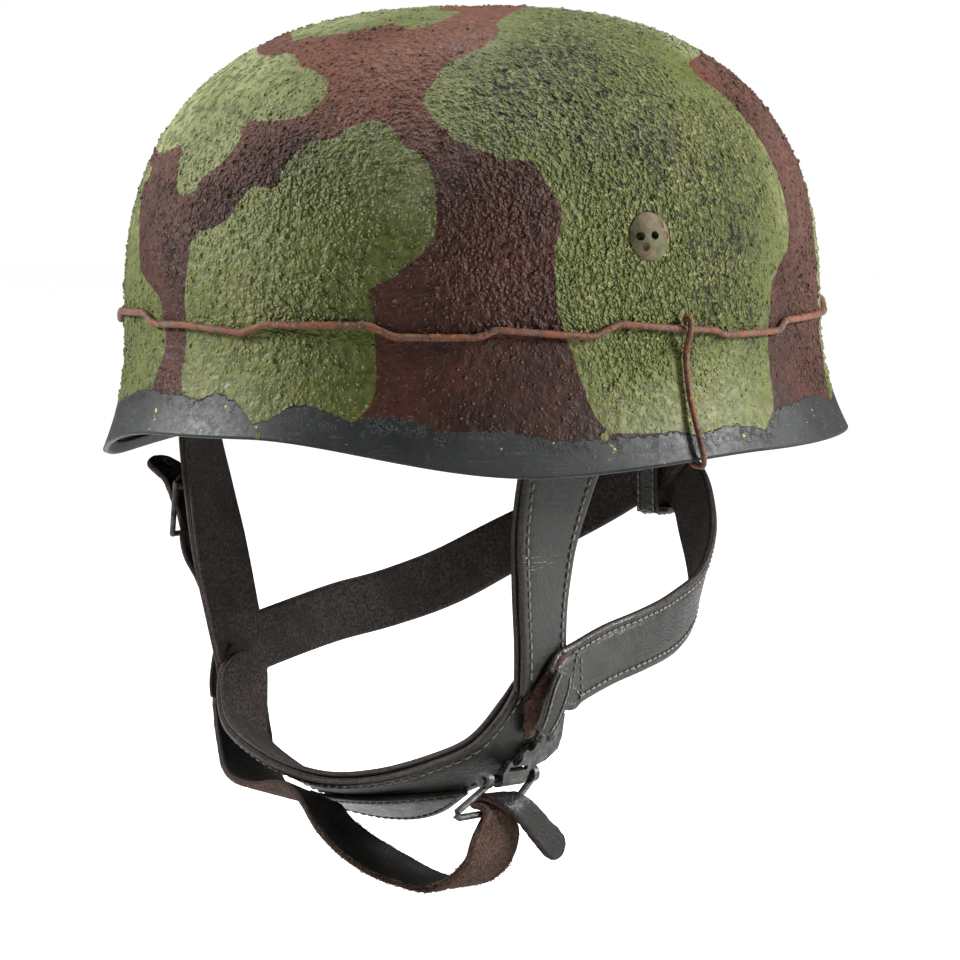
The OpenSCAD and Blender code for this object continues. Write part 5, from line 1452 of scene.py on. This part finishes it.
def make_crown_pad():
    """The round pad under the crown, 12 mm thick."""
    r_max, cols, rows, half_thick, soft = 46.0, 72, 14, 6, 0.12
    top = CROWN_Z - SHELL_WALL - PAD_GAP
    points = []
    for side in (1, -1):
        for r in range(rows):
            share = 1 - r / rows
            far = r_max * share
            bend = (far / (BODY_WID / 2 - SHELL_WALL)) ** DOME_POWER
            z = WALL_Z + (top - WALL_Z) * (1 - bend) ** (1 / DOME_POWER)
            z += half_thick * (side * (0.25 + 0.75 * rounding(1 - share, soft)) - 1)
            points += [on_ellipse(360 * c / cols, z, far, far) for c in range(cols)]
    n, last = rows * cols, (rows - 1) * cols
    upper = grid_faces(rows, cols, True)
    faces = upper + moved([q[::-1] for q in upper], n)
    faces += cap_faces(last, cols, 2 * n) + cap_faces(n + last, cols, 2 * n + 1, flip=True)
    faces += [((c + 1) % cols, c, n + c, n + (c + 1) % cols) for c in range(cols)]
    make_pad("crown_pad", np.array(points + [top * UP, (top - 2 * half_thick) * UP]), faces)


make_shell_outside()
make_shell_inside()
make_grains()
make_foliage_wire()
make_hooks()
make_hole_paint()
make_cheek_straps()
make_chin_strap()
make_linings()
make_chin_pad()
make_chin_loop()
make_nape_keeper()
make_side_chape()
make_liner()
make_side_pads()
make_crown_pad()


# Floor, light and background
def make_floor():
    half, z = 6.0, -0.24
    mesh = bpy.data.meshes.new("floor")
    mesh.from_pydata([(-half, -half, z), (half, -half, z), (half, half, z), (-half, half, z)], [],
                     [(0, 1, 2, 3)])
    floor = bpy.data.objects.new("floor", mesh)
    bpy.context.scene.collection.objects.link(floor)
    n = Nodes("floor")
    glow = n.times(n.new("LightPath").outputs["Is Camera Ray"], 0.9)
    n.set(Base_Color=(0.7, 0.7, 0.7), Roughness=0.9, Emission_Color=(1, 1, 1), Emission_Strength=glow)
    mesh.materials.append(n.mat)


def make_world():
    """Weak white light from all round, and a plain white background."""
    world = bpy.data.worlds.new("world")
    bpy.context.scene.world = world
    world.use_nodes = True
    tree = world.node_tree
    sky = tree.nodes["Background"]
    plain = tree.nodes.new("ShaderNodeBackground")
    for node, strength in ((sky, 0.12), (plain, 1.0)):
        node.inputs["Color"].default_value = (1, 1, 1, 1)
        node.inputs["Strength"].default_value = strength
    mix = tree.nodes.new("ShaderNodeMixShader")
    path = tree.nodes.new("ShaderNodeLightPath")
    tree.links.new(path.outputs["Is Camera Ray"], mix.inputs[0])
    tree.links.new(sky.outputs[0], mix.inputs[1])
    tree.links.new(plain.outputs[0], mix.inputs[2])
    tree.links.new(mix.outputs[0], tree.nodes["World Output"].inputs["Surface"])


def make_lamp(name, place, aim, size, watts):
    lamp = bpy.data.lights.new(name, "AREA")
    lamp.energy, lamp.size = watts, size
    obj = bpy.data.objects.new(name, lamp)
    bpy.context.scene.collection.objects.link(obj)
    obj.location = place
    obj.rotation_euler = (Vector(place) - Vector(aim)).to_track_quat("Z", "Y").to_euler()


make_floor()
make_world()
make_lamp("left", (-1.38, -1.22, 1.05), (0, 0, 0.05), 0.45, 76)
make_lamp("right", (1.4, 1.0, 0.7), (0, 0, 0.02), 0.5, 66)
make_lamp("top", (-0.3, 0.5, 1.85), (0, 0, 0.08), 0.6, 34)
bpy.context.scene.view_settings.view_transform = "Standard"


# CAD nodes that stay get their materials
def dress(material, *names):
    for name in names:
        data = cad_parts[name].data
        data.materials.clear()
        data.materials.append(material)


dress(BOLT, "vented_bolt_front_left", "vented_bolt_front_right", "vented_bolt_rear_left",
      "vented_bolt_rear_right")
dress(BARE, "bolt_washers", "bolt_nuts")
dress(BAND, "liner_band")
dress(RIVET, "liner_rivets")
dress(BUCKLE, "buckle_plate", "buckle_pin", "buckle_rivets", "buckle_frame", "side_buckle_frame",
      "side_buckle_prong", "side_eyelet")
